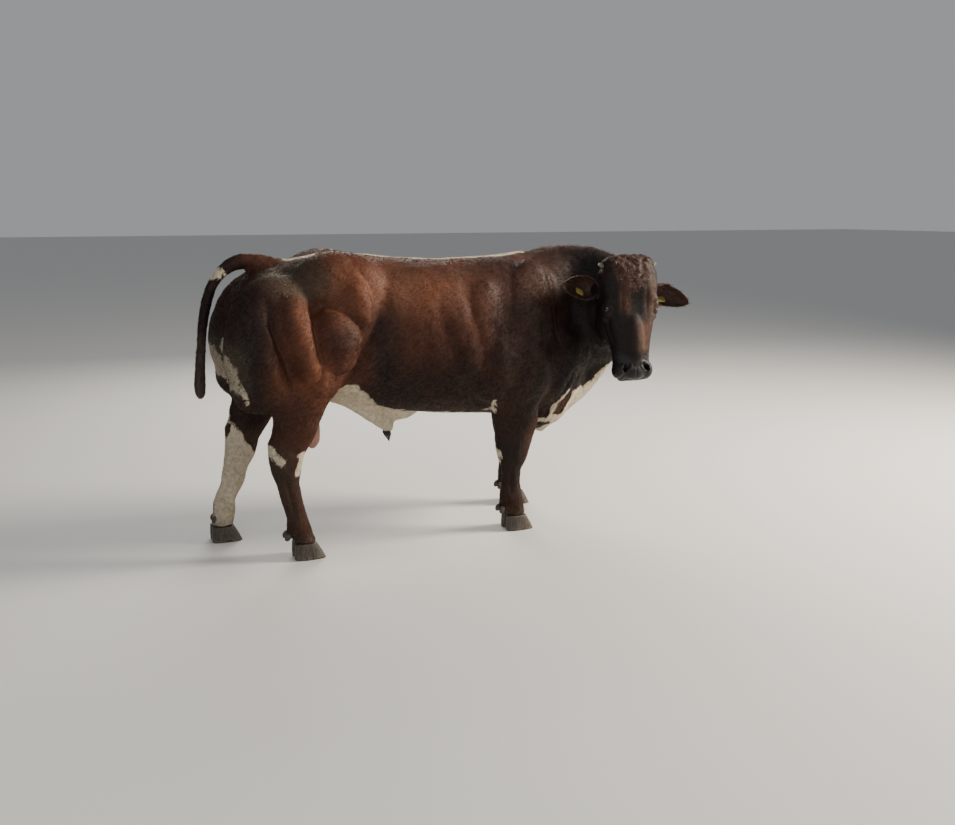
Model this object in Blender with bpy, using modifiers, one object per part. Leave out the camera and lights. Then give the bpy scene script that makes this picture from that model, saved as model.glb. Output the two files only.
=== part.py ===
"""A standing double-muscled beef bull, life size, as a still model.

The body is modelled whole as overlapping soft masses, fused into one surface and parted by
thin cuts into head, neck, torso, hindquarters and legs.  Hooves, ears, eyes, tags, tail, poll
curls and the hair of the tail and the sheath are built on it from their own sizes.
Metres, +X forward along the body, +Y to the animal's left, +Z up, the floor at z = 0.
"""
import math
import random

import bmesh
import bpy
import numpy as np
from mathutils import Matrix, Vector

COLLECTION_NAME = "bull"
GAP = 0.0003
RIGHT, LEFT = -1, 1

# Heights and lengths of the standing animal.
WITHERS_HEIGHT = 1.390
CROUP_HEIGHT = 1.425
LOIN_HEIGHT = 1.368
BELLY_HEIGHT = 0.602
THIGH_LEVEL = 0.705
ELBOW_LEVEL = 0.640
SCROTUM_X = -0.362
FOOT_SPREAD = 0.200
CLAW_HEIGHT = 0.078
CLAW_SPREAD = 0.0325
DEWCLAW_SPREAD = 0.025

# Where the joints of each leg are along the body.  The far hind leg is set back.
NEAR_STIFLE, NEAR_HOCK, NEAR_HIND_FETLOCK, NEAR_HIND_FOOT = -0.395, -0.535, -0.484, -0.452
FAR_STIFLE, FAR_HOCK, FAR_HIND_FETLOCK, FAR_HIND_FOOT = -0.480, -0.668, -0.760, -0.774
FAR_SHANK_SWELL = 0.008
NEAR_KNEE, NEAR_FORE_FOOT = 0.628, 0.634
FAR_KNEE, FAR_FORE_FOOT = 0.794, 0.806

# The head: the middle between its eyes, the way it faces from +X, how far the nose is carried
# forward, and its size against the lengths given in the head's own directions.
EYE_CENTRE = Vector((1.141, -0.416, 1.128))
HEAD_TURN = math.radians(-97.0)
HEAD_TILT = math.radians(9.0)
HEAD_SCALE = 1.065
EYE_SPREAD = 0.113
EYE_RADIUS = 0.0222

# The line of the lips: its corner as (out, down), how it falls, and how deep it is pressed in.
MOUTH_CORNER = (-0.030, 0.232)
MOUTH_SLOPE = 0.42
MOUTH_DEPTH = 0.0075

# Ears, tags, tail and hair.
HORN_BUD_LENGTH = 0.044
EAR_LENGTH = 0.188
EAR_WALL = 0.0050
EAR_ROOT_RADIUS = 0.036
EAR_CUT = 0.026
TAG_SIZE = (0.044, 0.036, 0.0022)
TAG_STUD = 0.0035
TAG_ROW = 3
TAG_STAND = 0.0110
TAG_CORNER = 0.010
SWITCH_LOCKS = 11
SHEATH_LOCKS = 7
POLL_CURLS = 19

# Where the body is parted: the tail's box, and planes as a point and a direction.
TAIL_REGION = ((-1.20, -0.10, 1.300), (-0.635, 0.10, 1.600))
NECK_CUT = (Vector((0.860, 0.0, 1.10)), Vector((0.955, 0.0, 0.296)))
HEAD_CUT = (Vector((1.175, -0.268, 1.10)), Vector((-0.05, -0.995, 0.08)))
RUMP_CUT = (Vector((-0.120, 0.0, 1.0)), Vector((-1.0, 0.0, -0.12)))

# Fineness of the fused surfaces and the faces each keeps.
BODY_VOXEL = 0.011
HEAD_VOXEL = 0.0048
BODY_FACES = 4500
HEAD_FACES = 1900


def clear_scene():
    """Removes what the scene holds."""
    for item in list(bpy.data.objects):
        bpy.data.objects.remove(item, do_unlink=True)


def make_collection(name):
    """Adds a collection to the scene."""
    group = bpy.data.collections.new(name)
    bpy.context.scene.collection.children.link(group)
    return group


def make_material(name, colour, roughness, metallic=0.0):
    """A Principled material of one colour."""
    finish = bpy.data.materials.new(name)
    finish.use_nodes = True
    shader = finish.node_tree.nodes["Principled BSDF"]
    shader.inputs["Base Color"].default_value = (*colour, 1.0)
    shader.inputs["Roughness"].default_value = roughness
    shader.inputs["Metallic"].default_value = metallic
    finish.diffuse_color = (*colour, 1.0)
    return finish


def add_mesh(name, bm, group, finish=None):
    """Turns a bmesh into an object of the group, facing outwards."""
    bmesh.ops.recalc_face_normals(bm, faces=bm.faces)
    if bm.calc_volume(signed=True) < 0:
        bmesh.ops.reverse_faces(bm, faces=bm.faces)
    mesh = bpy.data.meshes.new(name)
    bm.to_mesh(mesh)
    bm.free()
    item = bpy.data.objects.new(name, mesh)
    group.objects.link(item)
    if finish:
        mesh.materials.append(finish)
    return item


def superellipse(angle, power):
    """Cosine and sine of an angle, squared off by the power."""
    c, s = math.cos(angle), math.sin(angle)
    bend = 2.0 / power
    return math.copysign(abs(c) ** bend, c), math.copysign(abs(s) ** bend, s)


def loft(rings, segments=24):
    """A closed tube through rings of (centre, side axis, up axis, side, up, down, power).

    Each ring reaches side to both sides, up along the up axis and down against it.
    """
    bm = bmesh.new()
    loops = []
    for centre, side_axis, up_axis, side, up, down, power in rings:
        loop = []
        for step in range(segments):
            c, s = superellipse(2 * math.pi * step / segments, power)
            rise = up if s > 0 else down
            loop.append(bm.verts.new(centre + side_axis * (side * c) + up_axis * (rise * s)))
        loops.append(loop)
    for lower, upper in zip(loops, loops[1:]):
        for step in range(segments):
            after = (step + 1) % segments
            bm.faces.new((lower[step], lower[after], upper[after], upper[step]))
    bm.faces.new(loops[0][::-1])
    bm.faces.new(loops[-1])
    return bm


def ellipsoid(centre, radii, turn=(0.0, 0.0, 0.0), fine=3):
    """A ball stretched to three radii and turned by degrees about X, Y and Z."""
    bm = bmesh.new()
    bmesh.ops.create_icosphere(bm, subdivisions=fine, radius=1.0)
    spin = Matrix.Rotation(math.radians(turn[2]), 4, "Z")
    spin = spin @ Matrix.Rotation(math.radians(turn[1]), 4, "Y")
    spin = spin @ Matrix.Rotation(math.radians(turn[0]), 4, "X")
    bm.transform(Matrix.Translation(centre) @ spin @ Matrix.Diagonal((*radii, 1.0)))
    return bm


def box(low, high):
    """A box between two corners."""
    bm = bmesh.new()
    bmesh.ops.create_cube(bm, size=1.0)
    low, high = Vector(low), Vector(high)
    bm.transform(Matrix.Translation((low + high) / 2) @ Matrix.Diagonal((*(high - low), 1.0)))
    return bm


def evaluated_copy(item, name, group):
    """A mesh object with the modifiers of the given one applied; the given one is removed."""
    graph = bpy.context.evaluated_depsgraph_get()
    mesh = bpy.data.meshes.new_from_object(item.evaluated_get(graph))
    place = item.matrix_world.copy()
    bpy.data.objects.remove(item, do_unlink=True)
    result = bpy.data.objects.new(name, mesh)
    mesh.name = name
    result.matrix_world = place
    group.objects.link(result)
    return result


def join(pieces, name, group):
    """Puts many bmeshes into one object, still as separate closed surfaces."""
    whole = bmesh.new()
    for piece in pieces:
        bmesh.ops.recalc_face_normals(piece, faces=piece.faces)
        mesh = bpy.data.meshes.new("piece")
        piece.to_mesh(mesh)
        piece.free()
        whole.from_mesh(mesh)
        bpy.data.meshes.remove(mesh)
    mesh = bpy.data.meshes.new(name)
    whole.to_mesh(mesh)
    whole.free()
    item = bpy.data.objects.new(name, mesh)
    group.objects.link(item)
    return item


def fuse(pieces, name, group, voxel, relax, faces, carve=None):
    """One closed skin round many overlapping masses, relaxed, carved and thinned."""
    item = join(pieces, name, group)
    remesh = item.modifiers.new("fuse", "REMESH")
    remesh.mode = "VOXEL"
    remesh.voxel_size = voxel
    smooth = item.modifiers.new("relax", "SMOOTH")
    smooth.factor = 0.5
    smooth.iterations = relax
    item = evaluated_copy(item, name, group)
    keep_largest(item)
    if carve:
        carve(item)
    thin = item.modifiers.new("thin", "DECIMATE")
    thin.ratio = min(1.0, faces / (2.0 * len(item.data.polygons)))
    return evaluated_copy(item, name, group)


def keep_largest(item):
    """Leaves an object only its closed surface with the most faces."""
    bm = bmesh.new()
    bm.from_mesh(item.data)
    left = set(bm.faces)
    best = []
    while left:
        seed = left.pop()
        found, edge = [seed], [seed]
        while edge:
            face = edge.pop()
            for link in face.edges:
                for other in link.link_faces:
                    if other in left:
                        left.remove(other)
                        found.append(other)
                        edge.append(other)
        if len(found) > len(best):
            best = found
    kept = set(best)
    bmesh.ops.delete(bm, geom=[f for f in bm.faces if f not in kept], context="FACES")
    bm.to_mesh(item.data)
    bm.free()


def boolean(item, tools, operation, group):
    """Cuts, joins or meets an object with bmesh tools, and keeps its largest surface."""
    name = item.name
    cutters = make_collection(name + "_tools")
    for number, tool in enumerate(tools):
        cutter = add_mesh(f"tool_{number}", tool, cutters)
        cutter.hide_render = True
        cutter.display_type = "WIRE"
    change = item.modifiers.new(operation.lower(), "BOOLEAN")
    change.operation = operation
    change.solver = "EXACT"
    change.operand_type = "COLLECTION"
    change.collection = cutters
    result = evaluated_copy(item, name, group)
    for cutter in list(cutters.objects):
        bpy.data.objects.remove(cutter, do_unlink=True)
    bpy.data.collections.remove(cutters)
    keep_largest(result)
    return result


def copy_of(item, name, group):
    """A copy of an object with a mesh of its own."""
    result = bpy.data.objects.new(name, item.data.copy())
    group.objects.link(result)
    return result


def dress(item, finish):
    """Gives an object one material and smooth shading."""
    item.data.materials.clear()
    item.data.materials.append(finish)
    item.data.shade_smooth()


# The head's own directions: side to its left, out of the forehead, and down the face.
FACING = Vector((math.cos(HEAD_TURN), math.sin(HEAD_TURN), 0.0))
HEAD_SIDE = Vector((-FACING.y, FACING.x, 0.0))
HEAD_DOWN = FACING * math.sin(HEAD_TILT) - Vector((0, 0, 1)) * math.cos(HEAD_TILT)
HEAD_OUT = FACING * math.cos(HEAD_TILT) + Vector((0, 0, 1)) * math.sin(HEAD_TILT)
HEAD_FRAME = Matrix((
    (HEAD_SIDE.x, HEAD_OUT.x, HEAD_DOWN.x, EYE_CENTRE.x),
    (HEAD_SIDE.y, HEAD_OUT.y, HEAD_DOWN.y, EYE_CENTRE.y),
    (HEAD_SIDE.z, HEAD_OUT.z, HEAD_DOWN.z, EYE_CENTRE.z),
    (0, 0, 0, 1))) @ Matrix.Scale(HEAD_SCALE, 4)


def place_on_head(bm):
    """Moves a bmesh made in the head's directions to its place."""
    bm.transform(HEAD_FRAME)
    return bm


def torso_masses():
    """The barrel from tail head to brisket as one loft of upright rings."""
    side_axis, up_axis = Vector((0, 1, 0)), Vector((0, 0, 1))
    stations = (
        (-0.690, 1.250, 0.980, 0.085),
        (-0.620, 1.335, 0.880, 0.160),
        (-0.480, 1.372, 0.790, 0.225),
        (-0.290, CROUP_HEIGHT - 0.020, 0.715, 0.262),
        (-0.090, CROUP_HEIGHT - 0.025, 0.672, 0.272),
        (0.090, LOIN_HEIGHT + 0.010, 0.630, 0.296),
        (0.290, LOIN_HEIGHT, BELLY_HEIGHT, 0.318),
        (0.520, WITHERS_HEIGHT - 0.015, BELLY_HEIGHT - 0.020, 0.312),
        (0.740, WITHERS_HEIGHT, 0.548, 0.262),
        (0.900, 1.360, 0.505, 0.215),
        (1.020, 1.220, 0.580, 0.160),
        (1.100, 1.040, 0.680, 0.105),
    )
    rings = []
    for x, top, bottom, half in stations:
        middle = bottom + 0.52 * (top - bottom)
        centre = Vector((x, 0.0, middle))
        rings.append((centre, side_axis, up_axis, half, top - middle, middle - bottom, 2.35))
    return [loft(rings, 32)]


def hind_masses(side):
    """The rump and thigh muscles of one side, lobe by lobe."""
    y = side
    return [
        ellipsoid((-0.240, y * 0.150, 1.238), (0.245, 0.150, 0.185), (y * 10, 4, 0)),
        ellipsoid((-0.190, y * 0.235, 1.190), (0.118, 0.100, 0.185), (y * 12, 8, 0)),
        ellipsoid((-0.560, y * 0.185, 1.062), (0.218, 0.150, 0.270), (y * 4, 14, 0)),
        ellipsoid((-0.598, y * 0.225, 0.965), (0.193, 0.128, 0.260), (y * -4, -10, 0)),
        ellipsoid((-0.440, y * 0.290, 1.010), (0.090, 0.084, 0.245), (y * 3, -17, 0)),
        ellipsoid((-0.292, y * 0.296, 1.035), (0.114, 0.090, 0.165), (y * 4, -8, 0)),
        ellipsoid((-0.340, y * 0.225, 0.900), (0.105, 0.100, 0.190), (y * -6, 18, 0)),
        ellipsoid((-0.635, y * 0.232, 0.832), (0.138, 0.085, 0.132), (y * -6, 0, 0)),
    ]


def fore_masses(side):
    """The shoulder, upper arm and brisket masses of one side."""
    y = side
    return [
        ellipsoid((0.680, y * 0.205, 1.110), (0.165, 0.110, 0.270), (y * 10, 14, 0)),
        ellipsoid((0.525, y * 0.250, 0.900), (0.135, 0.092, 0.230), (y * 2, 16, 0)),
        ellipsoid((0.660, y * 0.240, 0.850), (0.150, 0.100, 0.230), (0, -4, 0)),
        ellipsoid((0.845, y * 0.160, 0.850), (0.165, 0.120, 0.230), (0, 10, 0)),
        ellipsoid((0.400, y * 0.262, 1.050), (0.130, 0.062, 0.240), (y * 6, 16, 0)),
        ellipsoid((0.862, y * 0.080, 0.610), (0.140, 0.080, 0.118), (0, -24, 0)),
        ellipsoid((0.950, y * 0.110, 0.910), (0.150, 0.110, 0.240), (0, 6, 0)),
    ]


def top_masses():
    """The withers, the loin muscles beside the spine and the crest of the neck."""
    masses = []
    for side in (RIGHT, LEFT):
        masses.append(ellipsoid((0.180, side * 0.105, 1.265), (0.420, 0.120, 0.092)))
        masses.append(ellipsoid((-0.540, side * 0.085, 1.245), (0.160, 0.100, 0.100), (0, -12, 0)))
    masses.append(ellipsoid((0.760, 0.000, 1.290), (0.220, 0.095, 0.110)))
    masses.append(dewlap())
    return masses


def dewlap():
    """The keel of skin and fat from the throat down to the brisket."""
    keel = (
        (1.165, -0.150, 0.920, 0.085, 0.084),
        (1.172, -0.070, 0.848, 0.064, 0.088),
        (1.138, -0.022, 0.762, 0.058, 0.092),
        (1.086, -0.008, 0.694, 0.062, 0.088),
        (1.012, 0.000, 0.634, 0.072, 0.082),
        (0.936, 0.000, 0.584, 0.082, 0.080),
        (0.862, 0.000, 0.534, 0.090, 0.092),
        (0.770, 0.000, 0.575, 0.080, 0.064),
    )
    rings = []
    for number, (x, y, z, half, deep) in enumerate(keel):
        before, after = keel[max(number - 1, 0)], keel[min(number + 1, len(keel) - 1)]
        way = Vector(after[:3]) - Vector(before[:3])
        side_axis = way.cross(Vector((1.0, 0.0, -1.0))).normalized()
        up_axis = side_axis.cross(way).normalized()
        rings.append((Vector((x, y, z)), side_axis, up_axis, half, deep, deep, 2.0))
    return loft(rings, 20)


def neck_masses():
    """The neck, bent to the right, as a loft of rings across its curved middle line."""
    stations = (
        ((0.700, 0.000, 1.080), 0.0, 0.235, 0.300, 0.330),
        ((0.880, 0.005, 1.095), -3.0, 0.215, 0.315, 0.400),
        ((1.020, -0.020, 1.110), -26.0, 0.190, 0.311, 0.410),
        ((1.115, -0.095, 1.120), -55.0, 0.172, 0.290, 0.330),
        ((1.160, -0.195, 1.120), -78.0, 0.150, 0.262, 0.240),
        ((1.175, -0.300, 1.110), -94.0, 0.128, 0.215, 0.190),
        ((1.172, -0.360, 1.100), -97.0, 0.105, 0.170, 0.150),
    )
    rings = []
    for centre, heading, half, up, down in stations:
        turn = math.radians(heading)
        side_axis = Vector((-math.sin(turn), math.cos(turn), 0.0))
        rings.append((Vector(centre), side_axis, Vector((0, 0, 1)), half, up, down, 2.05))
    return [loft(rings, 28)]


def leg_loft(stations, side):
    """A limb through rings of (x, distance from the middle plane, z, half length, half width)."""
    rings = []
    for x, reach, z, half_length, half_width in stations:
        centre = Vector((x, side * reach, z))
        rings.append((centre, Vector((1, 0, 0)), Vector((0, 1, 0)), half_length, half_width,
                      half_width, 2.0))
    return loft(rings, 20)


def hind_leg(side, stifle, hock, fetlock, foot, swell=0.0):
    """One hind leg from the thigh to the coronet; the x of its joints is given.

    The cannon is thickened fore and aft by the swell.
    """
    y = FOOT_SPREAD
    shank = leg_loft((
        (stifle - 0.010, y + 0.040, 0.900, 0.135, 0.085),
        (stifle - 0.060, y + 0.030, 0.760, 0.140, 0.078),
        ((stifle + hock) / 2 - 0.006, y + 0.012, 0.660, 0.114, 0.065),
        (hock + 0.038, y + 0.002, 0.570, 0.104, 0.053),
        (hock + 0.008, y, 0.500, 0.085, 0.051),
        (hock + 0.006 - swell, y, 0.430, 0.073 + swell, 0.047),
        (0.75 * hock + 0.25 * fetlock - swell, y, 0.360, 0.054 + swell, 0.040),
        ((hock + fetlock) / 2 - swell / 2, y, 0.285, 0.053 + swell, 0.037),
        (fetlock - 0.002, y, 0.200, 0.051 + swell / 2, 0.038),
        (fetlock, y, 0.160, 0.056, 0.050),
        ((fetlock + foot) / 2, y, 0.110, 0.050, 0.052),
        (foot, y, CLAW_HEIGHT - 0.010, 0.056, 0.058),
        (foot, y, CLAW_HEIGHT - 0.014, 0.050, 0.052),
    ), side)
    heel = ellipsoid((hock - 0.044, side * y, 0.540), (0.034, 0.026, 0.056), (0, -12, 0))
    tendon = ellipsoid((hock - 0.026, side * (y + 0.004), 0.630), (0.030, 0.024, 0.100), (0, 8, 0))
    return [shank, heel, tendon] + dewclaws(side, y, fetlock - 0.050, 0.124)


def fore_leg(side, knee, foot):
    """One foreleg from the elbow to the coronet; the x of its knee and foot is given."""
    y = FOOT_SPREAD
    arm = leg_loft((
        (knee - 0.030, y + 0.040, 0.840, 0.140, 0.085),
        (knee - 0.020, y + 0.035, 0.700, 0.136, 0.082),
        (knee - 0.002, y + 0.018, 0.600, 0.124, 0.074),
        (knee + 0.004, y + 0.010, 0.530, 0.117, 0.066),
        (knee - 0.005, y + 0.002, 0.464, 0.106, 0.058),
        (knee - 0.008, y, 0.410, 0.091, 0.055),
        (knee - 0.011, y, 0.362, 0.078, 0.053),
        (knee - 0.020, y, 0.312, 0.055, 0.043),
        (knee - 0.020, y, 0.240, 0.051, 0.037),
        ((knee + foot) / 2 - 0.020, y, 0.160, 0.064, 0.050),
        ((knee + foot) / 2 - 0.004, y, 0.112, 0.053, 0.052),
        (foot, y, CLAW_HEIGHT - 0.010, 0.056, 0.060),
        (foot, y, CLAW_HEIGHT - 0.014, 0.050, 0.054),
    ), side)
    elbow = ellipsoid((knee - 0.085, side * (y + 0.030), 0.700), (0.050, 0.045, 0.080), (0, 20, 0))
    return [arm, elbow] + dewclaws(side, y, (knee + foot) / 2 - 0.074, 0.120)


def dewclaws(side, reach, x, z):
    """The two small claws behind a fetlock."""
    size = (0.015, 0.0135, 0.024)
    return [ellipsoid((x, side * reach + inner * DEWCLAW_SPREAD, z), size, (0, 30, 0))
            for inner in (-1, 1)]


def sheath_masses():
    """The sheath, a fold of skin that runs forward under the belly to its free end."""
    up_axis = Vector((0, 0, 1))
    side_axis = Vector((0, 1, 0))
    stations = (
        (-0.330, 0.765, 0.080, 0.048),
        (-0.200, 0.718, 0.072, 0.050),
        (-0.090, 0.648, 0.058, 0.056),
        (-0.020, 0.592, 0.046, 0.054),
        (0.030, 0.556, 0.036, 0.042),
        (0.054, 0.540, 0.024, 0.024),
    )
    rings = [(Vector((x, 0.0, z)), side_axis, up_axis, half, high, high, 2.0)
             for x, z, half, high in stations]
    web = ellipsoid((0.080, 0.0, 0.622), (0.110, 0.040, 0.050))
    return [loft(rings, 16), web]


def scrotum_masses():
    """The scrotum between the thighs, with its neck."""
    masses = [ellipsoid((SCROTUM_X, 0.0, 0.660), (0.052, 0.045, 0.110))]
    for side in (RIGHT, LEFT):
        masses.append(ellipsoid((SCROTUM_X, side * 0.024, 0.550), (0.044, 0.042, 0.082)))
    return masses


def head_masses(fine):
    """Skull, cheeks, muzzle and jaw in the head's directions, placed on the neck."""
    side_axis, up_axis = Vector((1, 0, 0)), Vector((0, 1, 0))
    skull_stations = (
        (-0.240, 0.066, 0.018, 0.046, 2.0),
        (-0.220, 0.104, 0.044, 0.078, 2.2),
        (-0.165, 0.138, 0.076, 0.105, 2.6),
        (-0.090, 0.139, 0.082, 0.140, 2.7),
        (-0.020, 0.128, 0.074, 0.150, 2.6),
        (0.050, 0.119, 0.072, 0.140, 2.6),
        (0.120, 0.103, 0.070, 0.092, 2.5),
        (0.190, 0.090, 0.066, 0.052, 2.5),
        (0.240, 0.087, 0.061, 0.036, 2.5),
        (0.285, 0.090, 0.055, 0.026, 2.5),
        (0.316, 0.082, 0.044, 0.018, 2.4),
        (0.333, 0.058, 0.028, 0.008, 2.2),
    )
    rings = [(Vector((0, 0, down)), side_axis, up_axis, half, front, back, power)
             for down, half, front, back, power in skull_stations]
    jaw_stations = (
        (0.020, 0.072, -0.106, 0.060),
        (0.090, 0.074, -0.108, 0.066),
        (0.160, 0.062, -0.080, 0.052),
        (0.220, 0.054, -0.054, 0.040),
        (0.270, 0.058, -0.034, 0.034),
        (0.306, 0.053, -0.020, 0.030),
        (0.326, 0.036, -0.010, 0.020),
    )
    jaw_rings = [(Vector((0, out, down)), side_axis, up_axis, half, depth, depth, 2.2)
                 for down, half, out, depth in jaw_stations]
    masses = [loft(rings, 28), loft(jaw_rings, 24)]
    for side in (RIGHT, LEFT):
        masses.append(ellipsoid((side * 0.088, -0.078, 0.055), (0.036, 0.078, 0.100)))
        masses.append(ellipsoid((side * 0.104, 0.004, 0.004), (0.036, 0.044, 0.062)))
        masses.append(ellipsoid((side * 0.106, 0.026, -0.036), (0.028, 0.034, 0.034)))
        masses.append(ellipsoid((side * 0.064, 0.018, 0.285), (0.034, 0.044, 0.044)))
        masses.append(ear_root(side))
        masses.append(ellipsoid((side * 0.076, 0.000, -0.200), (0.054, 0.056, 0.038)))
    masses.append(ellipsoid((0.0, 0.040, 0.286), (0.058, 0.030, 0.044)))
    masses.append(ellipsoid((0.0, 0.044, 0.130), (0.054, 0.038, 0.170)))
    if fine:
        for side in (RIGHT, LEFT):
            masses.extend(lids(side))
    for mass in masses:
        place_on_head(mass)
    return masses


def eye_place(side):
    """The centre of an eyeball in the head's directions."""
    return Vector((side * EYE_SPREAD, 0.024, 0.0))


def eye_look(side):
    """The direction in which an eye looks, in the head's directions."""
    return Vector((side * 0.86, 0.48, 0.08)).normalized()


def ear_place(side):
    """Where an ear leaves the head, and the direction it points in, in the head's directions."""
    lift, forward = (-0.14, 0.34) if side == RIGHT else (0.36, 0.14)
    axis = Vector((side, forward, lift)).normalized()
    return Vector((side * 0.124, -0.050, -0.088)), axis


def ear_root(side):
    """The muscled root of an ear."""
    place, axis = ear_place(side)
    radii = (0.056, EAR_ROOT_RADIUS, EAR_ROOT_RADIUS * 1.15)
    bm = ellipsoid((0, 0, 0), radii)
    bm.transform(Matrix.Translation(place) @ axis.to_track_quat("X", "Z").to_matrix().to_4x4())
    return bm


def lids(side):
    """Upper and lower lid of one eye, each a bent roll over the front of the ball."""
    rolls = []
    centre = eye_place(side)
    look = eye_look(side)
    across = Vector((0, 0, 1)).cross(look).normalized()
    high = look.cross(across).normalized()
    if high.z > 0:
        high = -high
    for lift, roll, arch in ((0.0135, 0.0085, 1.0), (-0.0125, 0.0065, -1.0)):
        for step in range(9):
            turn = math.pi * (step / 8 - 0.5) * 0.82
            reach = EYE_RADIUS * 1.02
            point = centre + across * (reach * math.sin(turn) * 1.05)
            point = point + look * (reach * math.cos(turn) * 0.90)
            point = point + high * (lift * (0.35 + 0.65 * math.cos(turn)) + 0.001 * arch)
            rolls.append(ellipsoid(point, (roll, roll, roll), fine=2))
    return rolls


def tail_line():
    """The tail's middle line from inside the rump, with its radius: (x, z, radius)."""
    return (
        (-0.420, 1.335, 0.046),
        (-0.500, 1.346, 0.044),
        (-0.570, 1.367, 0.041),
        (-0.637, 1.374, 0.037),
        (-0.704, 1.355, 0.032),
        (-0.757, 1.309, 0.0275),
        (-0.798, 1.238, 0.0245),
        (-0.828, 1.140, 0.0232),
        (-0.846, 1.030, 0.0226),
        (-0.857, 0.930, 0.0216),
        (-0.863, 0.860, 0.0190),
        (-0.866, 0.820, 0.0120),
    )


def tail_point(where):
    """Place, direction and radius at a position counted along the tail's line."""
    line = [(Vector((x, 0.0, z)), radius) for x, z, radius in tail_line()]
    last = len(line) - 1
    step = min(int(where), last - 1)
    part = where - step
    before = line[max(step - 1, 0)][0]
    start, first_radius = line[step]
    end, second_radius = line[step + 1]
    after = line[min(step + 2, last)][0]
    first, second = (end - before) / 2, (after - start) / 2
    p2, p3 = part * part, part ** 3
    place = start * (2 * p3 - 3 * p2 + 1) + end * (3 * p2 - 2 * p3)
    place = place + first * (p3 - 2 * p2 + part) + second * (p3 - p2)
    way = start * (6 * p2 - 6 * part) + end * (6 * part - 6 * p2)
    way = way + first * (3 * p2 - 4 * part + 1) + second * (3 * p2 - 2 * part)
    return place, way.normalized(), first_radius * (1 - part) + second_radius * part


def tail_tube(start, end, rings, trim=0.0):
    """A length of tail between two positions, its ends trimmed along the line."""
    loops = []
    for step in range(rings):
        place, way, radius = tail_point(start + (end - start) * step / (rings - 1))
        if step == 0:
            place = place + way * trim
        up_axis = Vector((0, 1, 0)).cross(way)
        loops.append((place, Vector((0, 1, 0)), up_axis, radius * 0.92, radius, radius, 2.0))
    return loft(loops, 14)


def lock(root, tip, width, thick, bend, face):
    """One flat tapered lock of hair from root to tip, bent sideways, its flat towards face."""
    rings = []
    way = (tip - root).normalized()
    side_axis = way.cross(face).normalized()
    up_axis = side_axis.cross(way).normalized()
    for part, wide, deep in ((0.0, 0.75, 1.0), (0.35, 1.0, 1.0), (0.72, 0.62, 0.7), (1.0, 0.16, 0.3)):
        centre = root.lerp(tip, part) + bend * (math.sin(math.pi * part * 0.5) ** 2)
        half = width * wide / 2
        deep = thick * deep / 2
        rings.append((centre, side_axis, up_axis, half, deep, deep, 2.0))
    return loft(rings, 6)


def switch_locks(dice):
    """The locks of the tail's switch, in two turns round the end of the dock."""
    locks = []
    for number in range(SWITCH_LOCKS):
        turn = 2.399 * number
        where = 9.15 + 1.45 * number / SWITCH_LOCKS
        place, way, radius = tail_point(where)
        out = Vector((math.cos(turn), math.sin(turn), 0.0))
        out = (out - way * out.dot(way)).normalized()
        root = place + out * radius * 0.55
        length = (0.105 + 0.025 * dice.random()) * (1.0 - 0.22 * number / SWITCH_LOCKS)
        tip = root + way * length + out * (0.004 + 0.010 * dice.random())
        tip.z = max(tip.z, 0.762)
        bend = out * (0.006 * dice.random())
        locks.append(lock(root, tip, 0.021, 0.009, bend, out))
    return locks


def sheath_locks(dice):
    """The tuft of hair at the free end of the sheath."""
    locks = []
    for number in range(SHEATH_LOCKS):
        turn = 2 * math.pi * number / SHEATH_LOCKS
        out = Vector((math.cos(turn) * 0.7, math.sin(turn), 0.0))
        root = Vector((0.012, 0.0, 0.534)) + out * 0.012
        tip = root + Vector((0.012, 0.0, -0.040 - 0.016 * dice.random())) + out * 0.007
        locks.append(lock(root, tip, 0.015, 0.007, out * 0.003, out))
    return locks


def build_tail(group, coat):
    """The tail beyond its root, in three lengths, the last with its switch."""
    first = add_mesh("tail_root", tail_tube(2.7, 5.0, 10), group)
    start = Vector((TAIL_REGION[1][0] - GAP, 0.0, 0.0))
    first = boolean(first, [half_space(start, (1, 0, 0))], "DIFFERENCE", group)
    middle = add_mesh("tail_middle", tail_tube(5.0, 8.0, 11, GAP), group)
    end = add_mesh("tail_end", tail_tube(8.0, 11.0, 9, GAP), group)
    end = boolean(end, switch_locks(random.Random(4)), "UNION", group)
    for item in (first, middle, end):
        dress(item, coat)


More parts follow.
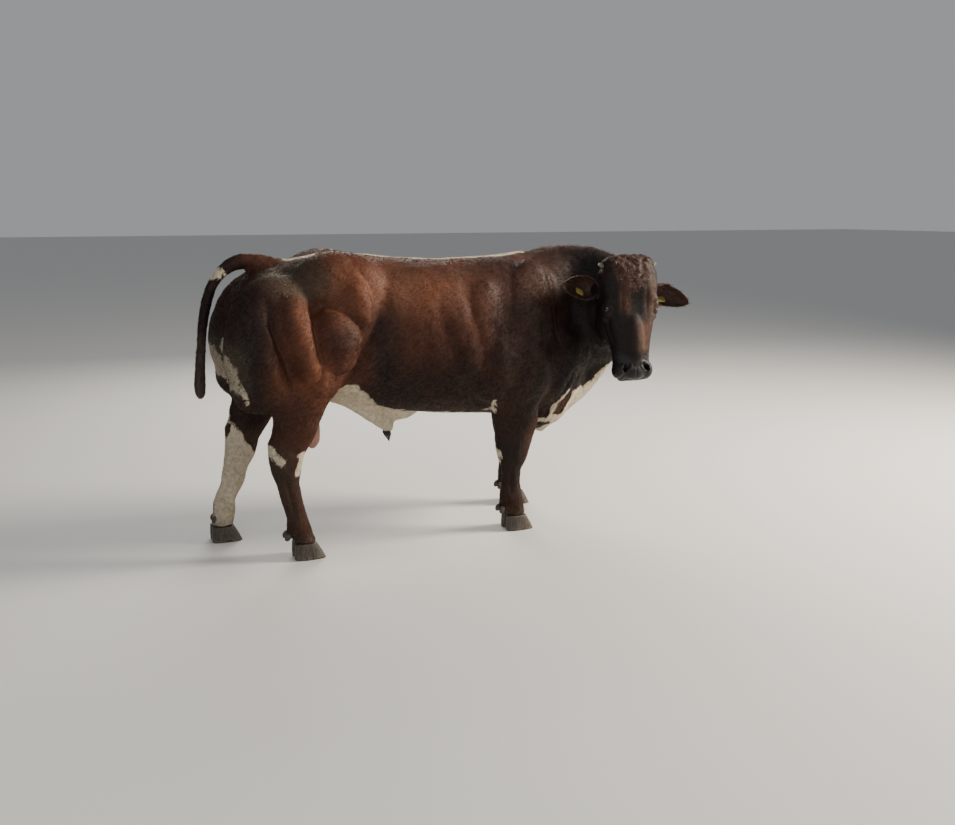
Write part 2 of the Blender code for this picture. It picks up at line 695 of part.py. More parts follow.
def ear_surface(side):
    """The open cup of an ear, base ring first; gives its bmesh and its wall point for a tag."""
    place, axis = ear_place(side)
    opening = Vector((side * 0.10, 1.0, 0.30))
    opening = (opening - axis * opening.dot(axis)).normalized()
    across = axis.cross(opening).normalized()
    start = place + axis * (EAR_CUT - 0.004)
    rows, columns = 9, 8
    bm = bmesh.new()
    grid = []
    for row in range(rows + 1):
        along = row / rows
        bulge = math.sin(math.pi * min(1.0, along ** 0.72) * 0.94 + 0.06)
        radius = 0.0245 + 0.031 * bulge * (1 - 0.22 * along)
        span = math.radians(150 - 82 * min(1.0, along * 2.2) - 12 * along)
        if along > 0.55:
            fall = (along - 0.55) / 0.45
            radius = radius * math.sqrt(max(0.0, 1 - 0.94 * fall ** 3))
        middle = start + axis * (EAR_LENGTH * along)
        middle = middle - opening * (0.012 * math.sin(math.pi * along))
        line = []
        for column in range(columns + 1):
            turn = span * (2 * column / columns - 1)
            point = middle - opening * (radius * math.cos(turn) - radius * 0.55 * along)
            point = point + across * (radius * math.sin(turn) * (1 + 0.15 * along))
            line.append(bm.verts.new(point))
        grid.append(line)
    for low, high in zip(grid, grid[1:]):
        for column in range(columns):
            first, second = low[column], low[column + 1]
            third, fourth = high[column + 1], high[column]
            bm.faces.new((first, second, third))
            bm.faces.new((first, third, fourth))
    column = columns // 2 + 2 * side
    wall = grid[TAG_ROW][column].co.copy()
    along = (grid[TAG_ROW + 1][column].co - grid[TAG_ROW - 1][column].co).normalized()
    inward = start + axis * (EAR_LENGTH * TAG_ROW / rows) - opening * 0.012 - wall
    inward = (inward - along * inward.dot(along)).normalized()
    return bm, wall, inward, inward.cross(along).normalized(), along


def build_ear(side, group, coat, plastic):
    """One ear as a thin cup, and the tag through it."""
    word = "right" if side == RIGHT else "left"
    bm, wall, opening, across, axis = ear_surface(side)
    wall = HEAD_FRAME @ wall
    turn = HEAD_FRAME.to_3x3()
    opening, across, axis = turn @ opening, turn @ across, turn @ axis
    bm.transform(HEAD_FRAME)
    ear = add_mesh("ear_" + word, bm, group)
    shell = ear.modifiers.new("wall", "SOLIDIFY")
    shell.thickness = EAR_WALL
    shell.offset = 0.0
    ear = evaluated_copy(ear, "ear_" + word, group)
    frame = Matrix((
        (axis.x, across.x, opening.x, wall.x),
        (axis.y, across.y, opening.y, wall.y),
        (axis.z, across.z, opening.z, wall.z),
        (0, 0, 0, 1)))
    hole = rod(TAG_STUD + GAP, -0.03, 0.03, 10, frame)
    place, root_axis = ear_place(side)
    stop = place_on_head(half_disc(place + root_axis * (EAR_CUT + GAP), -root_axis))
    ear = boolean(ear, [stop, hole], "DIFFERENCE", group)
    dress(ear, coat)
    half_wall = EAR_WALL / 2 + 0.0012
    long, high, thick = TAG_SIZE
    front = half_wall + TAG_STAND
    plate = box((-long / 2, -high / 2, front), (long / 2, high / 2, front + thick))
    corners = [edge for edge in plate.edges if abs((edge.verts[0].co - edge.verts[1].co).z) > thick / 2]
    bmesh.ops.bevel(plate, geom=corners, offset=TAG_CORNER, segments=3, affect="EDGES", profile=0.5)
    plate.transform(frame)
    button = rod(0.010, -half_wall - 0.0025, -half_wall, 14, frame)
    stud = rod(TAG_STUD, -half_wall - 0.001, front + 0.001, 10, frame)
    tag = add_mesh("ear_tag_" + word, plate, group)
    tag = boolean(tag, [button, stud], "UNION", group)
    dress(tag, plastic)


def rod(radius, low, high, segments, frame):
    """A round rod along the third axis of a frame."""
    bm = bmesh.new()
    bmesh.ops.create_cone(bm, cap_ends=True, segments=segments, radius1=radius, radius2=radius,
                          depth=high - low)
    bm.transform(frame @ Matrix.Translation((0, 0, (low + high) / 2)))
    return bm


def eye_ball(side, extra=0.0):
    """An eyeball in its place."""
    bm = bmesh.new()
    bmesh.ops.create_uvsphere(bm, u_segments=14, v_segments=8, radius=EYE_RADIUS + extra)
    bm.transform(HEAD_FRAME @ Matrix.Translation(eye_place(side)))
    return bm


def eye_opening(side):
    """The almond opening between the lids."""
    look = eye_look(side)
    bm = ellipsoid((0, 0, 0), (0.0185, 0.0125, 0.016), fine=2)
    bm.transform(HEAD_FRAME @ Matrix.Translation(eye_place(side) + look * EYE_RADIUS * 0.86)
                 @ look.to_track_quat("Z", "Y").to_matrix().to_4x4()
                 @ Matrix.Rotation(math.radians(90), 4, "Z"))
    return bm


def horn_bud(side, extra=0.0):
    """A stub of horn that barely breaks the hair beside the poll."""
    bm = bmesh.new()
    bmesh.ops.create_cone(bm, cap_ends=True, segments=12, radius1=0.015 + extra,
                          radius2=0.008 + extra, depth=HORN_BUD_LENGTH + 2 * extra)
    axis = Vector((side * 0.92, 0.10, -0.38)).normalized()
    place = Vector((side * 0.122, 0.000, -0.196))
    bm.transform(HEAD_FRAME @ Matrix.Translation(place)
                 @ axis.to_track_quat("Z", "Y").to_matrix().to_4x4())
    return bm


def nostril(side):
    """One nostril, a bent hollow in the side of the nose pad."""
    upper = ellipsoid((side * 0.047, 0.057, 0.266), (0.011, 0.020, 0.015),
                      (0, side * 30, side * 24), fine=2)
    lower = ellipsoid((side * 0.055, 0.051, 0.281), (0.016, 0.020, 0.010),
                      (0, side * -22, side * 24), fine=2)
    return [place_on_head(upper), place_on_head(lower)]


def carve_head(item):
    """Presses the mouth line and the folds of the muzzle into the fine skin of the head."""
    mesh = item.data
    count = len(mesh.vertices)
    co = np.empty(count * 3)
    normal = np.empty(count * 3)
    mesh.vertices.foreach_get("co", co)
    mesh.vertices.foreach_get("normal", normal)
    co, normal = co.reshape(-1, 3), normal.reshape(-1, 3)
    inverse = np.array(HEAD_FRAME.inverted())
    _, out, down = (co @ inverse[:3, :3].T + inverse[:3, 3]).T
    # The lips meet on a line that falls from the mouth's corner to under the nose pad.
    lip = out - (MOUTH_CORNER[0] + (down - MOUTH_CORNER[1]) * MOUTH_SLOPE)
    inside = 1.0 / (1.0 + np.exp(-(down - MOUTH_CORNER[1] + 0.004) / 0.004))
    depth = MOUTH_DEPTH * np.exp(-(lip / 0.0052) ** 2) * inside
    co = co - normal * depth[:, None]
    mesh.vertices.foreach_set("co", co.ravel())
    mesh.update()


def poll_curls(head, dice):
    """Rounded clumps of curly hair set close over the poll and the top of the forehead."""
    curls = []
    for number in range(POLL_CURLS):
        round_turn = 2.399963 * number
        reach = math.sqrt((number + 0.5) / POLL_CURLS)
        side = 0.098 * reach * math.cos(round_turn)
        height = -0.186 + 0.062 * reach * math.sin(round_turn)
        start = HEAD_FRAME @ Vector((side, 0.300, height - 0.12))
        aim = (HEAD_FRAME @ Vector((side * 0.9, 0.0, height)) - start).normalized()
        hit, place, normal, _ = head.ray_cast(start, aim)
        if not hit:
            continue
        size = 0.0150 + 0.0035 * dice.random()
        bm = ellipsoid((0, 0, 0), (size, size * 0.86, size * 0.72), fine=1)
        spin = Matrix.Rotation(dice.random() * math.pi, 4, "Z")
        bm.transform(Matrix.Translation(place + normal * size * 0.16)
                     @ normal.to_track_quat("Z", "Y").to_matrix().to_4x4() @ spin)
        curls.append(bm)
    return curls


def claws(group, finish):
    """The two claws of each foot, as turned-in wedges standing on flat soles."""
    feet = (("fore_right", RIGHT, NEAR_FORE_FOOT), ("fore_left", LEFT, FAR_FORE_FOOT),
            ("hind_right", RIGHT, NEAR_HIND_FOOT), ("hind_left", LEFT, FAR_HIND_FOOT))
    for name, side, x in feet:
        for place, inner in (("inner", -side), ("outer", side)):
            middle = side * FOOT_SPREAD + inner * CLAW_SPREAD
            rings = []
            for z, forward, half_length, half_width in (
                    (0.000, 0.014, 0.074, 0.0300),
                    (0.030, 0.006, 0.067, 0.0300),
                    (CLAW_HEIGHT, -0.006, 0.052, 0.0270)):
                rings.append((Vector((x + forward, middle, z)), Vector((1, 0, 0)),
                              Vector((0, 1, 0)), half_length, half_width, half_width, 2.5))
            bm = loft(rings, 18)
            claw = add_mesh(f"claw_{name}_{place}", bm, group, finish)
            claw.data.shade_smooth()


def leg_region(side, x_low, x_high, level, inner):
    """The corners of the box that holds one leg below the body."""
    outer = 0.60
    low_y, high_y = (inner, outer) if side == LEFT else (-outer, -inner)
    return (x_low, low_y, CLAW_HEIGHT + GAP), (x_high, high_y, level)


LEG_REGIONS = {
    "hindleg_right": leg_region(RIGHT, -1.00, -0.20, THIGH_LEVEL, 0.085),
    "hindleg_left": leg_region(LEFT, -1.20, -0.20, THIGH_LEVEL, 0.085),
    "foreleg_right": leg_region(RIGHT, 0.40, 0.86, ELBOW_LEVEL, 0.118),
    "foreleg_left": leg_region(LEFT, 0.50, 1.00, ELBOW_LEVEL, 0.118),
    "scrotum": ((-0.46, -0.0835, 0.30), (-0.24, 0.0835, 0.660)),
    "sheath": ((-0.130, -0.20, 0.40), (0.200, 0.20, 0.586)),
}


def grown(corners, by):
    """A box's corners moved outwards."""
    low, high = corners
    return tuple(v - by for v in low), tuple(v + by for v in high)


def half_space(point, normal, size=3.0):
    """A large box that fills the side of a plane the normal points to."""
    normal = Vector(normal).normalized()
    bm = box((-size, -size, 0.0), (size, size, size))
    turn = normal.to_track_quat("Z", "Y").to_matrix().to_4x4()
    bm.transform(Matrix.Translation(Vector(point)) @ turn)
    return bm


def part_body(body, group, coat):
    """Parts the fused body into its named nodes by thin cuts."""
    nodes = {}
    for name, corners in LEG_REGIONS.items():
        piece = copy_of(body, name, group)
        nodes[name] = boolean(piece, [box(*corners)], "INTERSECT", group)
    taken = list(LEG_REGIONS.values()) + [TAIL_REGION]
    body = boolean(body, [box(*grown(corners, GAP)) for corners in taken], "DIFFERENCE", group)
    rest = body
    for name, (point, normal) in (("hindquarters", RUMP_CUT), ("neck", NECK_CUT)):
        normal = normal.normalized()
        piece = copy_of(rest, name, group)
        nodes[name] = boolean(piece, [half_space(point, normal)], "INTERSECT", group)
        rest = boolean(rest, [half_space(point - normal * GAP, normal)], "DIFFERENCE", group)
    nodes["torso"] = rest
    rest.name = "torso"
    point, normal = HEAD_CUT
    normal = normal.normalized()
    nodes["neck"] = boolean(nodes["neck"], [half_space(point, normal)], "DIFFERENCE", group)
    nodes["sheath"] = boolean(nodes["sheath"], sheath_locks(random.Random(7)), "UNION", group)
    for item in nodes.values():
        dress(item, coat)
    return nodes


def build_body(group, coat):
    """The whole body but the head, fused and parted."""
    masses = torso_masses() + top_masses() + neck_masses() + head_masses(False)
    for side in (RIGHT, LEFT):
        masses += hind_masses(side) + fore_masses(side)
    masses += hind_leg(RIGHT, NEAR_STIFLE, NEAR_HOCK, NEAR_HIND_FETLOCK, NEAR_HIND_FOOT)
    masses += hind_leg(LEFT, FAR_STIFLE, FAR_HOCK, FAR_HIND_FETLOCK, FAR_HIND_FOOT,
                       FAR_SHANK_SWELL)
    masses += fore_leg(RIGHT, NEAR_KNEE, NEAR_FORE_FOOT)
    masses += fore_leg(LEFT, FAR_KNEE, FAR_FORE_FOOT)
    masses += sheath_masses() + scrotum_masses() + [tail_tube(0.0, 3.6, 12)]
    body = fuse(masses, "body", group, BODY_VOXEL, 5, BODY_FACES)
    return part_body(body, group, coat)


def build_head(group, coat):
    """The head with its lids, nostrils, mouth and curls, cut from the neck."""
    masses = head_masses(True) + neck_masses()
    head = fuse(masses, "head", group, HEAD_VOXEL, 2, HEAD_FACES * 2, carve_head)
    point, normal = HEAD_CUT
    normal = normal.normalized()
    head = boolean(head, [half_space(point + normal * GAP, normal)], "INTERSECT", group)
    cutters = nostril(RIGHT) + nostril(LEFT)
    for side in (RIGHT, LEFT):
        cutters += [eye_ball(side, GAP), eye_opening(side), horn_bud(side, GAP)]
        place, axis = ear_place(side)
        cutters.append(place_on_head(half_disc(place + axis * EAR_CUT, axis)))
    head = boolean(head, cutters, "DIFFERENCE", group)
    head = boolean(head, poll_curls(head, random.Random(2)), "UNION", group)
    dress(head, coat)
    return head


def half_disc(place, axis):
    """A short wide drum beyond a plane, which ends the root of an ear flat."""
    bm = bmesh.new()
    bmesh.ops.create_cone(bm, cap_ends=True, segments=20, radius1=0.066, radius2=0.066, depth=0.08)
    bm.transform(Matrix.Translation(place + axis * 0.04)
                 @ axis.to_track_quat("Z", "Y").to_matrix().to_4x4())
    return bm


def centre_on_origin(group):
    """Moves all nodes together, so that the box round them is centred over the origin."""
    corners = [item.matrix_world @ Vector(corner) for item in group.objects for corner in item.bound_box]
    for axis in (0, 1):
        values = [corner[axis] for corner in corners]
        middle = (min(values) + max(values)) / 2
        for item in group.objects:
            item.location[axis] -= middle


def main():
    """Builds every node."""
    clear_scene()
    group = make_collection(COLLECTION_NAME)
    coat = make_material("coat", (0.115, 0.035, 0.018), 0.65)
    horn = make_material("horn", (0.030, 0.024, 0.020), 0.45)
    build_body(group, coat)
    build_head(group, coat)
    build_tail(group, coat)
    plastic = make_material("tag_yellow", (0.75, 0.52, 0.06), 0.4)
    eye = make_material("eye", (0.012, 0.008, 0.006), 0.08)
    bud_horn = make_material("horn_bud", (0.55, 0.50, 0.38), 0.5)
    for side in (RIGHT, LEFT):
        build_ear(side, group, coat, plastic)
        word = "right" if side == RIGHT else "left"
        ball = add_mesh("eye_" + word, eye_ball(side), group, eye)
        ball.data.shade_smooth()
        bud = add_mesh("horn_bud_" + word, horn_bud(side), group, bud_horn)
        bud.data.shade_smooth()
    claws(group, horn)
    centre_on_origin(group)


main()
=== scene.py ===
"""Looks of a standing double-muscled beef bull, life size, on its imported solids.

One hide covers the solids of flesh. Over it lie the short coat, the curls of the poll, the hair of
the crest and that of ears, tail and sheath, all as solid tufts. Ears, eyes, hooves, horn buds and
tags are pieces of their own. Lengths are in metres.

Places are named in the animal's own frame: x forward along the spine, y to its left from the plane
of the spine, z up from the floor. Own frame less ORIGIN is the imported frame.
"""

import logging
import math
from dataclasses import dataclass, field
from enum import Enum
from typing import Callable, Iterable, Sequence

import bmesh
import bpy
import numpy as np
from mathutils import Euler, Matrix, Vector


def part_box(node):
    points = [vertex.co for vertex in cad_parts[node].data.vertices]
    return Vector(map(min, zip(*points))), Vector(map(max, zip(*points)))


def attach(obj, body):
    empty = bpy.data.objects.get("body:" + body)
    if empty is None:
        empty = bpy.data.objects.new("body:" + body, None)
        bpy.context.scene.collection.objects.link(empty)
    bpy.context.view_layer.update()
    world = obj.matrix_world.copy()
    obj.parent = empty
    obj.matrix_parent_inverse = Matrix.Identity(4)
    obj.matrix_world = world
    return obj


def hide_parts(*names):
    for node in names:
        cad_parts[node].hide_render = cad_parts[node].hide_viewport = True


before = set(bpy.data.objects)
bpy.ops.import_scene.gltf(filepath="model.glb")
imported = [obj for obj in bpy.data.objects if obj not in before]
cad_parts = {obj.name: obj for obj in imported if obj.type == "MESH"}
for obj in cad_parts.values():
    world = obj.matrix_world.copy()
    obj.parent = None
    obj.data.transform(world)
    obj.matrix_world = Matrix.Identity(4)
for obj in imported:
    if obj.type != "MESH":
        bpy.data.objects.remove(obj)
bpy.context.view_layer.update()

LOG = logging.getLogger("bull")

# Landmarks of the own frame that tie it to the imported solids.
FORE_TOE_X = 0.722
OUTER_CLAW_Y = -0.2325
FLESH = ("torso", "hindquarters", "neck", "head", "hindleg_right", "hindleg_left",
         "foreleg_right", "foreleg_left", "scrotum", "sheath", "tail_root", "tail_middle")

# The last stretch of the tail, which the long hair hangs from.
TAIL_END = ((-0.846, 0.0, 1.030), (-0.857, 0.0, 0.930), (-0.863, 0.0, 0.862), (-0.866, 0.0, 0.822))

# The hide: how fine it is worked, how fine it is kept, and how deep it lies under the solids.
WORK_VOXEL = 0.0042
HIDE_FACES = 190000
COAT_DEPTH = 0.0012

# Which part of the short tufts and of the long hair is grown.
SHORT_SHARE = 1.0
LONG_SHARE = 1.0

COARSER = 1.0

# How near two corners of a solid lie that are one, and by how much solids of flesh are made fuller
# so that they touch.
SAME_CORNER = 1e-5
OVERLAP = 0.0005

DOWN = np.array([0.0, 0.0, -1.0])


class Side(Enum):
    """The two sides of the animal, valued by the sign of y."""

    RIGHT = -1
    LEFT = 1

    @property
    def word(self) -> str:
        """The side's word in the names of nodes and pieces."""
        return self.name.lower()


def own_origin() -> np.ndarray:
    """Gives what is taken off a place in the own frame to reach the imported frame."""
    low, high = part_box("claw_fore_right_outer")
    return np.array([FORE_TOE_X - high.x, OUTER_CLAW_Y - (low.y + high.y) / 2, 0.0])


ORIGIN = own_origin()


# Numbers and surfaces.


def ease(low: float, high: float, value: np.ndarray) -> np.ndarray:
    """0 at low to 1 at high: three times the square less twice the cube of the way between."""
    part = np.clip((value - low) / (high - low), 0.0, 1.0)
    return part * part * (3.0 - 2.0 * part)


def hump(value: np.ndarray, width: float) -> np.ndarray:
    """A bell of height 1 about 0: e to the minus square of value over width."""
    return np.exp(-np.square(value / width))


def ripple(points: np.ndarray, length: float, seed: int, octaves: int = 2) -> np.ndarray:
    """Smooth noise of about -1 to 1.

    Args:
        points: Places, one in each row.
        length: The longest wavelength.
        seed: Chooses the noise.
        octaves: How many times a half as long and half as high noise is added.

    Returns:
        The sum over octaves of the mean of sines along random directions.
    """
    dice = np.random.default_rng(seed)
    total = np.zeros(len(points))
    for octave in range(octaves):
        ways = dice.normal(size=(8, 3))
        ways /= np.linalg.norm(ways, axis=1, keepdims=True)
        pace = 2.0 * math.pi / length * 2.0 ** octave * dice.uniform(0.6, 1.4, 8)
        phase = dice.uniform(0.0, 2.0 * math.pi, 8)
        total += 0.5 ** octave * np.sin(points @ ways.T * pace + phase).mean(axis=1) * 2.2
    return total


def unit(vectors: np.ndarray) -> np.ndarray:
    """Scales each row to length 1."""
    return vectors / np.maximum(np.linalg.norm(vectors, axis=-1, keepdims=True), 1e-9)


def along_path(points: np.ndarray,
               path: Sequence[Sequence[float]]) -> tuple[np.ndarray, np.ndarray]:
    """Distance of points to a path of straight stretches, and where along it.

    Args:
        points: Places of two or three numbers, one in each row.
        path: The corners of the path, with as many numbers each.

    Returns:
        The least distance over all stretches, and its position from 0 to 1 along the path.
    """
    corners = np.array(path, float)
    best = np.full(len(points), np.inf)
    where = np.zeros(len(points))
    count = len(corners) - 1
    for number, (start, end) in enumerate(zip(corners, corners[1:])):
        way = end - start
        part = np.clip((points - start) @ way / (way @ way), 0.0, 1.0)
        gap = np.linalg.norm(points - start - part[:, None] * way, axis=1)
        nearer = gap < best
        best = np.where(nearer, gap, best)
        where = np.where(nearer, (number + part) / count, where)
    return best, where


def gap_to(points: np.ndarray, path: Sequence[Sequence[float]]) -> np.ndarray:
    """The least distance of points to a path of straight stretches."""
    return along_path(points, path)[0]


def in_ball(points: np.ndarray, centre: Sequence[float], radii: Sequence[float]) -> np.ndarray:
    """Rough depth in an ellipsoid, in metres: least radius times 1 less the scaled distance."""
    scaled = (points - np.array(centre)) / np.array(radii)
    return (1.0 - np.linalg.norm(scaled, axis=1)) * min(radii)


@dataclass
class Sheet:
    """A surface as corner places and faces, still without an object."""

    places: np.ndarray
    faces: list

    @staticmethod
    def grid(places: np.ndarray, around: bool = False) -> "Sheet":
        """Makes a sheet of a grid of places.

        Args:
            places: An array of rows, columns and three coordinates.
            around: Joins the last column to the first.

        Returns:
            The sheet, a quad between each four neighbours.
        """
        rows, columns = places.shape[:2]
        number = np.arange(rows * columns).reshape(rows, columns)
        after = np.roll(number, -1, axis=1) if around else number[:, 1:]
        here = number if around else number[:, :-1]
        quads = np.stack([here[:-1], after[:-1], after[1:], here[1:]], axis=-1).reshape(-1, 4)
        return Sheet(places.reshape(-1, 3), quads.tolist())

    def closed(self, columns: int) -> "Sheet":
        """Adds the two end faces of a tube of that many columns."""
        count = len(self.places)
        ends = [list(range(columns))[::-1], list(range(count - columns, count))]
        return Sheet(self.places, self.faces + ends)

    def joined(self, other: "Sheet") -> "Sheet":
        """Both sheets as one."""
        shift = len(self.places)
        faces = self.faces + [[corner + shift for corner in face] for face in other.faces]
        return Sheet(np.vstack([self.places, other.places]), faces)

    def mesh(self, name: str, shift: np.ndarray = ORIGIN) -> bpy.types.Mesh:
        """Makes a mesh with its faces turned outwards.

        Args:
            name: The mesh's name.
            shift: What is taken off every place.

        Returns:
            The mesh, smooth.
        """
        mesh = bpy.data.meshes.new(name)
        mesh.from_pydata((self.places - shift).tolist(), [], self.faces)
        work = bmesh.new()
        work.from_mesh(mesh)
        bmesh.ops.recalc_face_normals(work, faces=work.faces)
        work.to_mesh(mesh)
        work.free()
        mesh.shade_smooth()
        return mesh


def ball_sheet(centre: Sequence[float], radii: Sequence[float], turn: Sequence[float] = (0, 0, 0),
               rows: int = 14, columns: int = 20) -> Sheet:
    """A closed ellipsoid: rings of sine height round a cosine axis, its poles nearly points.

    Args:
        centre: Its middle.
        radii: Its three radii before it is turned.
        turn: Degrees about x, y and z.
        rows: Rings from pole to pole.
        columns: Corners of a ring.

    Returns:
        The sheet.
    """
    tilt = np.linspace(0.02, math.pi - 0.02, rows)[:, None]
    spin = np.linspace(0.0, 2.0 * math.pi, columns, endpoint=False)[None, :]
    shape = np.stack([np.sin(tilt) * np.cos(spin), np.sin(tilt) * np.sin(spin),
                      np.cos(tilt) + 0.0 * spin], axis=-1) * np.array(radii)
    matrix = np.array(Euler([math.radians(angle) for angle in turn]).to_matrix())
    return Sheet.grid(shape @ matrix.T + np.array(centre), around=True).closed(columns)


def tube_sheet(path: np.ndarray, radii: np.ndarray, columns: int = 20,
               squash: float = 1.0) -> Sheet:
    """A round tube along a path, each ring square to the path there.

    Args:
        path: The middle line, one place in each row.
        radii: The radius at each place.
        columns: Corners of a ring.
        squash: How much narrower a ring is sideways.

    Returns:
        The sheet, closed at both ends.
    """
    way = unit(np.gradient(path, axis=0))
    side = unit(np.cross(way, np.array([0.0, 0.0, 1.0]) + 0.3 * way[:, ::-1]))
    rise = np.cross(side, way)
    spin = np.linspace(0.0, 2.0 * math.pi, columns, endpoint=False)
    ring = (side[:, None, :] * np.cos(spin)[None, :, None] * squash
            + rise[:, None, :] * np.sin(spin)[None, :, None])
    places = path[:, None, :] + ring * radii[:, None, None]
    return Sheet.grid(places, around=True).closed(columns)


def smooth_path(corners: Sequence[Sequence[float]], count: int) -> np.ndarray:
    """Places on a smooth curve through corners, evenly by corner number (Catmull-Rom).

    Args:
        corners: What the curve passes through.
        count: How many places.

    Returns:
        The places.
    """
    points = np.array(corners, float)
    last = len(points) - 1
    where = np.linspace(0.0, last, count)
    step = np.minimum(where.astype(int), last - 1)
    part = (where - step)[:, None]
    start, end = points[step], points[step + 1]
    before, after = points[np.maximum(step - 1, 0)], points[np.minimum(step + 2, last)]
    first, second = (end - before) / 2.0, (after - start) / 2.0
    return (start * (2 * part ** 3 - 3 * part ** 2 + 1) + end * (3 * part ** 2 - 2 * part ** 3)
            + first * (part ** 3 - 2 * part ** 2 + part) + second * (part ** 3 - part ** 2))


def linked(name: str, data: bpy.types.ID) -> bpy.types.Object:
    """Puts an object with its data in the scene."""
    item = bpy.data.objects.new(name, data)
    bpy.context.scene.collection.objects.link(item)
    return item


def add_piece(name: str, mesh: bpy.types.Mesh, finish: bpy.types.Material, slot: str,
              *nodes: str) -> bpy.types.Object:
    """Puts a mesh in the scene as a piece that rides the root.

    Args:
        name: The piece's name.
        mesh: Its mesh.
        finish: Its material.
        slot: The kind of material it stands for; not used.
        nodes: The solids it replaces, where it does.

    Returns:
        The object.
    """
    item = linked(name, mesh)
    mesh.materials.append(finish)
    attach(item, "root")
    if nodes:
        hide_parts(*nodes)
    return item


def set_field(mesh: bpy.types.Mesh, name: str, values: np.ndarray) -> None:
    """Writes one number for each corner place as an attribute."""
    layer = mesh.attributes.get(name) or mesh.attributes.new(name, "FLOAT", "POINT")
    layer.data.foreach_set("value", np.ascontiguousarray(values, np.float32))


def read_places(mesh: bpy.types.Mesh, what: str = "co") -> np.ndarray:
    """Places or normals of a mesh's vertices as an array of three columns.

    Args:
        mesh: The mesh.
        what: Either co for places or normal.

    Returns:
        The array.
    """
    values = np.empty(len(mesh.vertices) * 3, np.float32)
    mesh.vertices.foreach_get(what, values)
    return values.reshape(-1, 3).astype(float)


def write_places(mesh: bpy.types.Mesh, places: np.ndarray) -> None:
    """Moves a mesh's vertices to places."""
    mesh.vertices.foreach_set("co", places.astype(np.float32).ravel())
    mesh.update()


def read_edges(mesh: bpy.types.Mesh) -> np.ndarray:
    """The two vertices of each edge of a mesh, one edge in each row."""
    edges = np.empty(len(mesh.edges) * 2, np.int32)
    mesh.edges.foreach_get("vertices", edges)
    return edges.reshape(-1, 2)


def relaxed(mesh: bpy.types.Mesh, places: np.ndarray, rounds: int,
            strength: np.ndarray | float) -> np.ndarray:
    """Moves places again and again towards the mean of their neighbours.

    Args:
        mesh: Tells by its edges which vertices are neighbours.
        places: A place for each of its vertices.
        rounds: How often they move.
        strength: The part of the way that is moved in a round, for all or for each.

    Returns:
        The smoothed places.
    """
    count = len(places)
    edges = read_edges(mesh)
    first, second = edges.T
    degree = np.bincount(edges.ravel(), minlength=count)[:, None]
    for _ in range(rounds):
        near = np.stack([np.bincount(first, weights=places[second, axis], minlength=count)
                         + np.bincount(second, weights=places[first, axis], minlength=count)
                         for axis in range(3)], axis=1)
        places = places + strength * (near / degree - places)
    return places


def applied(item: bpy.types.Object) -> bpy.types.Mesh:
    """The mesh of an object with its modifiers; the object goes.

    Args:
        item: The object.

    Returns:
        Its finished mesh.
    """
    graph = bpy.context.evaluated_depsgraph_get()
    mesh = bpy.data.meshes.new_from_object(item.evaluated_get(graph))
    bpy.data.objects.remove(item, do_unlink=True)
    return mesh


def fused(item: bpy.types.Object, voxel: float) -> bpy.types.Mesh:
    """The outer surface of an object's solids as one even mesh; the object goes.

    Args:
        item: The object.
        voxel: The width of a cell of its grid.

    Returns:
        The mesh.
    """
    fuse = item.modifiers.new("fuse", "REMESH")
    fuse.mode = "VOXEL"
    fuse.voxel_size = voxel
    return applied(item)


def merged_mesh(nodes: Iterable[str]) -> bpy.types.Mesh:
    """Copies solids, their double corners merged, as one mesh.

    Args:
        nodes: Names of solids.

    Returns:
        The mesh.
    """
    whole = bmesh.new()
    for name in nodes:
        whole.from_mesh(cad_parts[name].data)
    bmesh.ops.remove_doubles(whole, verts=whole.verts, dist=SAME_CORNER)
    mesh = bpy.data.meshes.new("copy")
    whole.to_mesh(mesh)
    whole.free()
    return mesh


# The head's own directions.


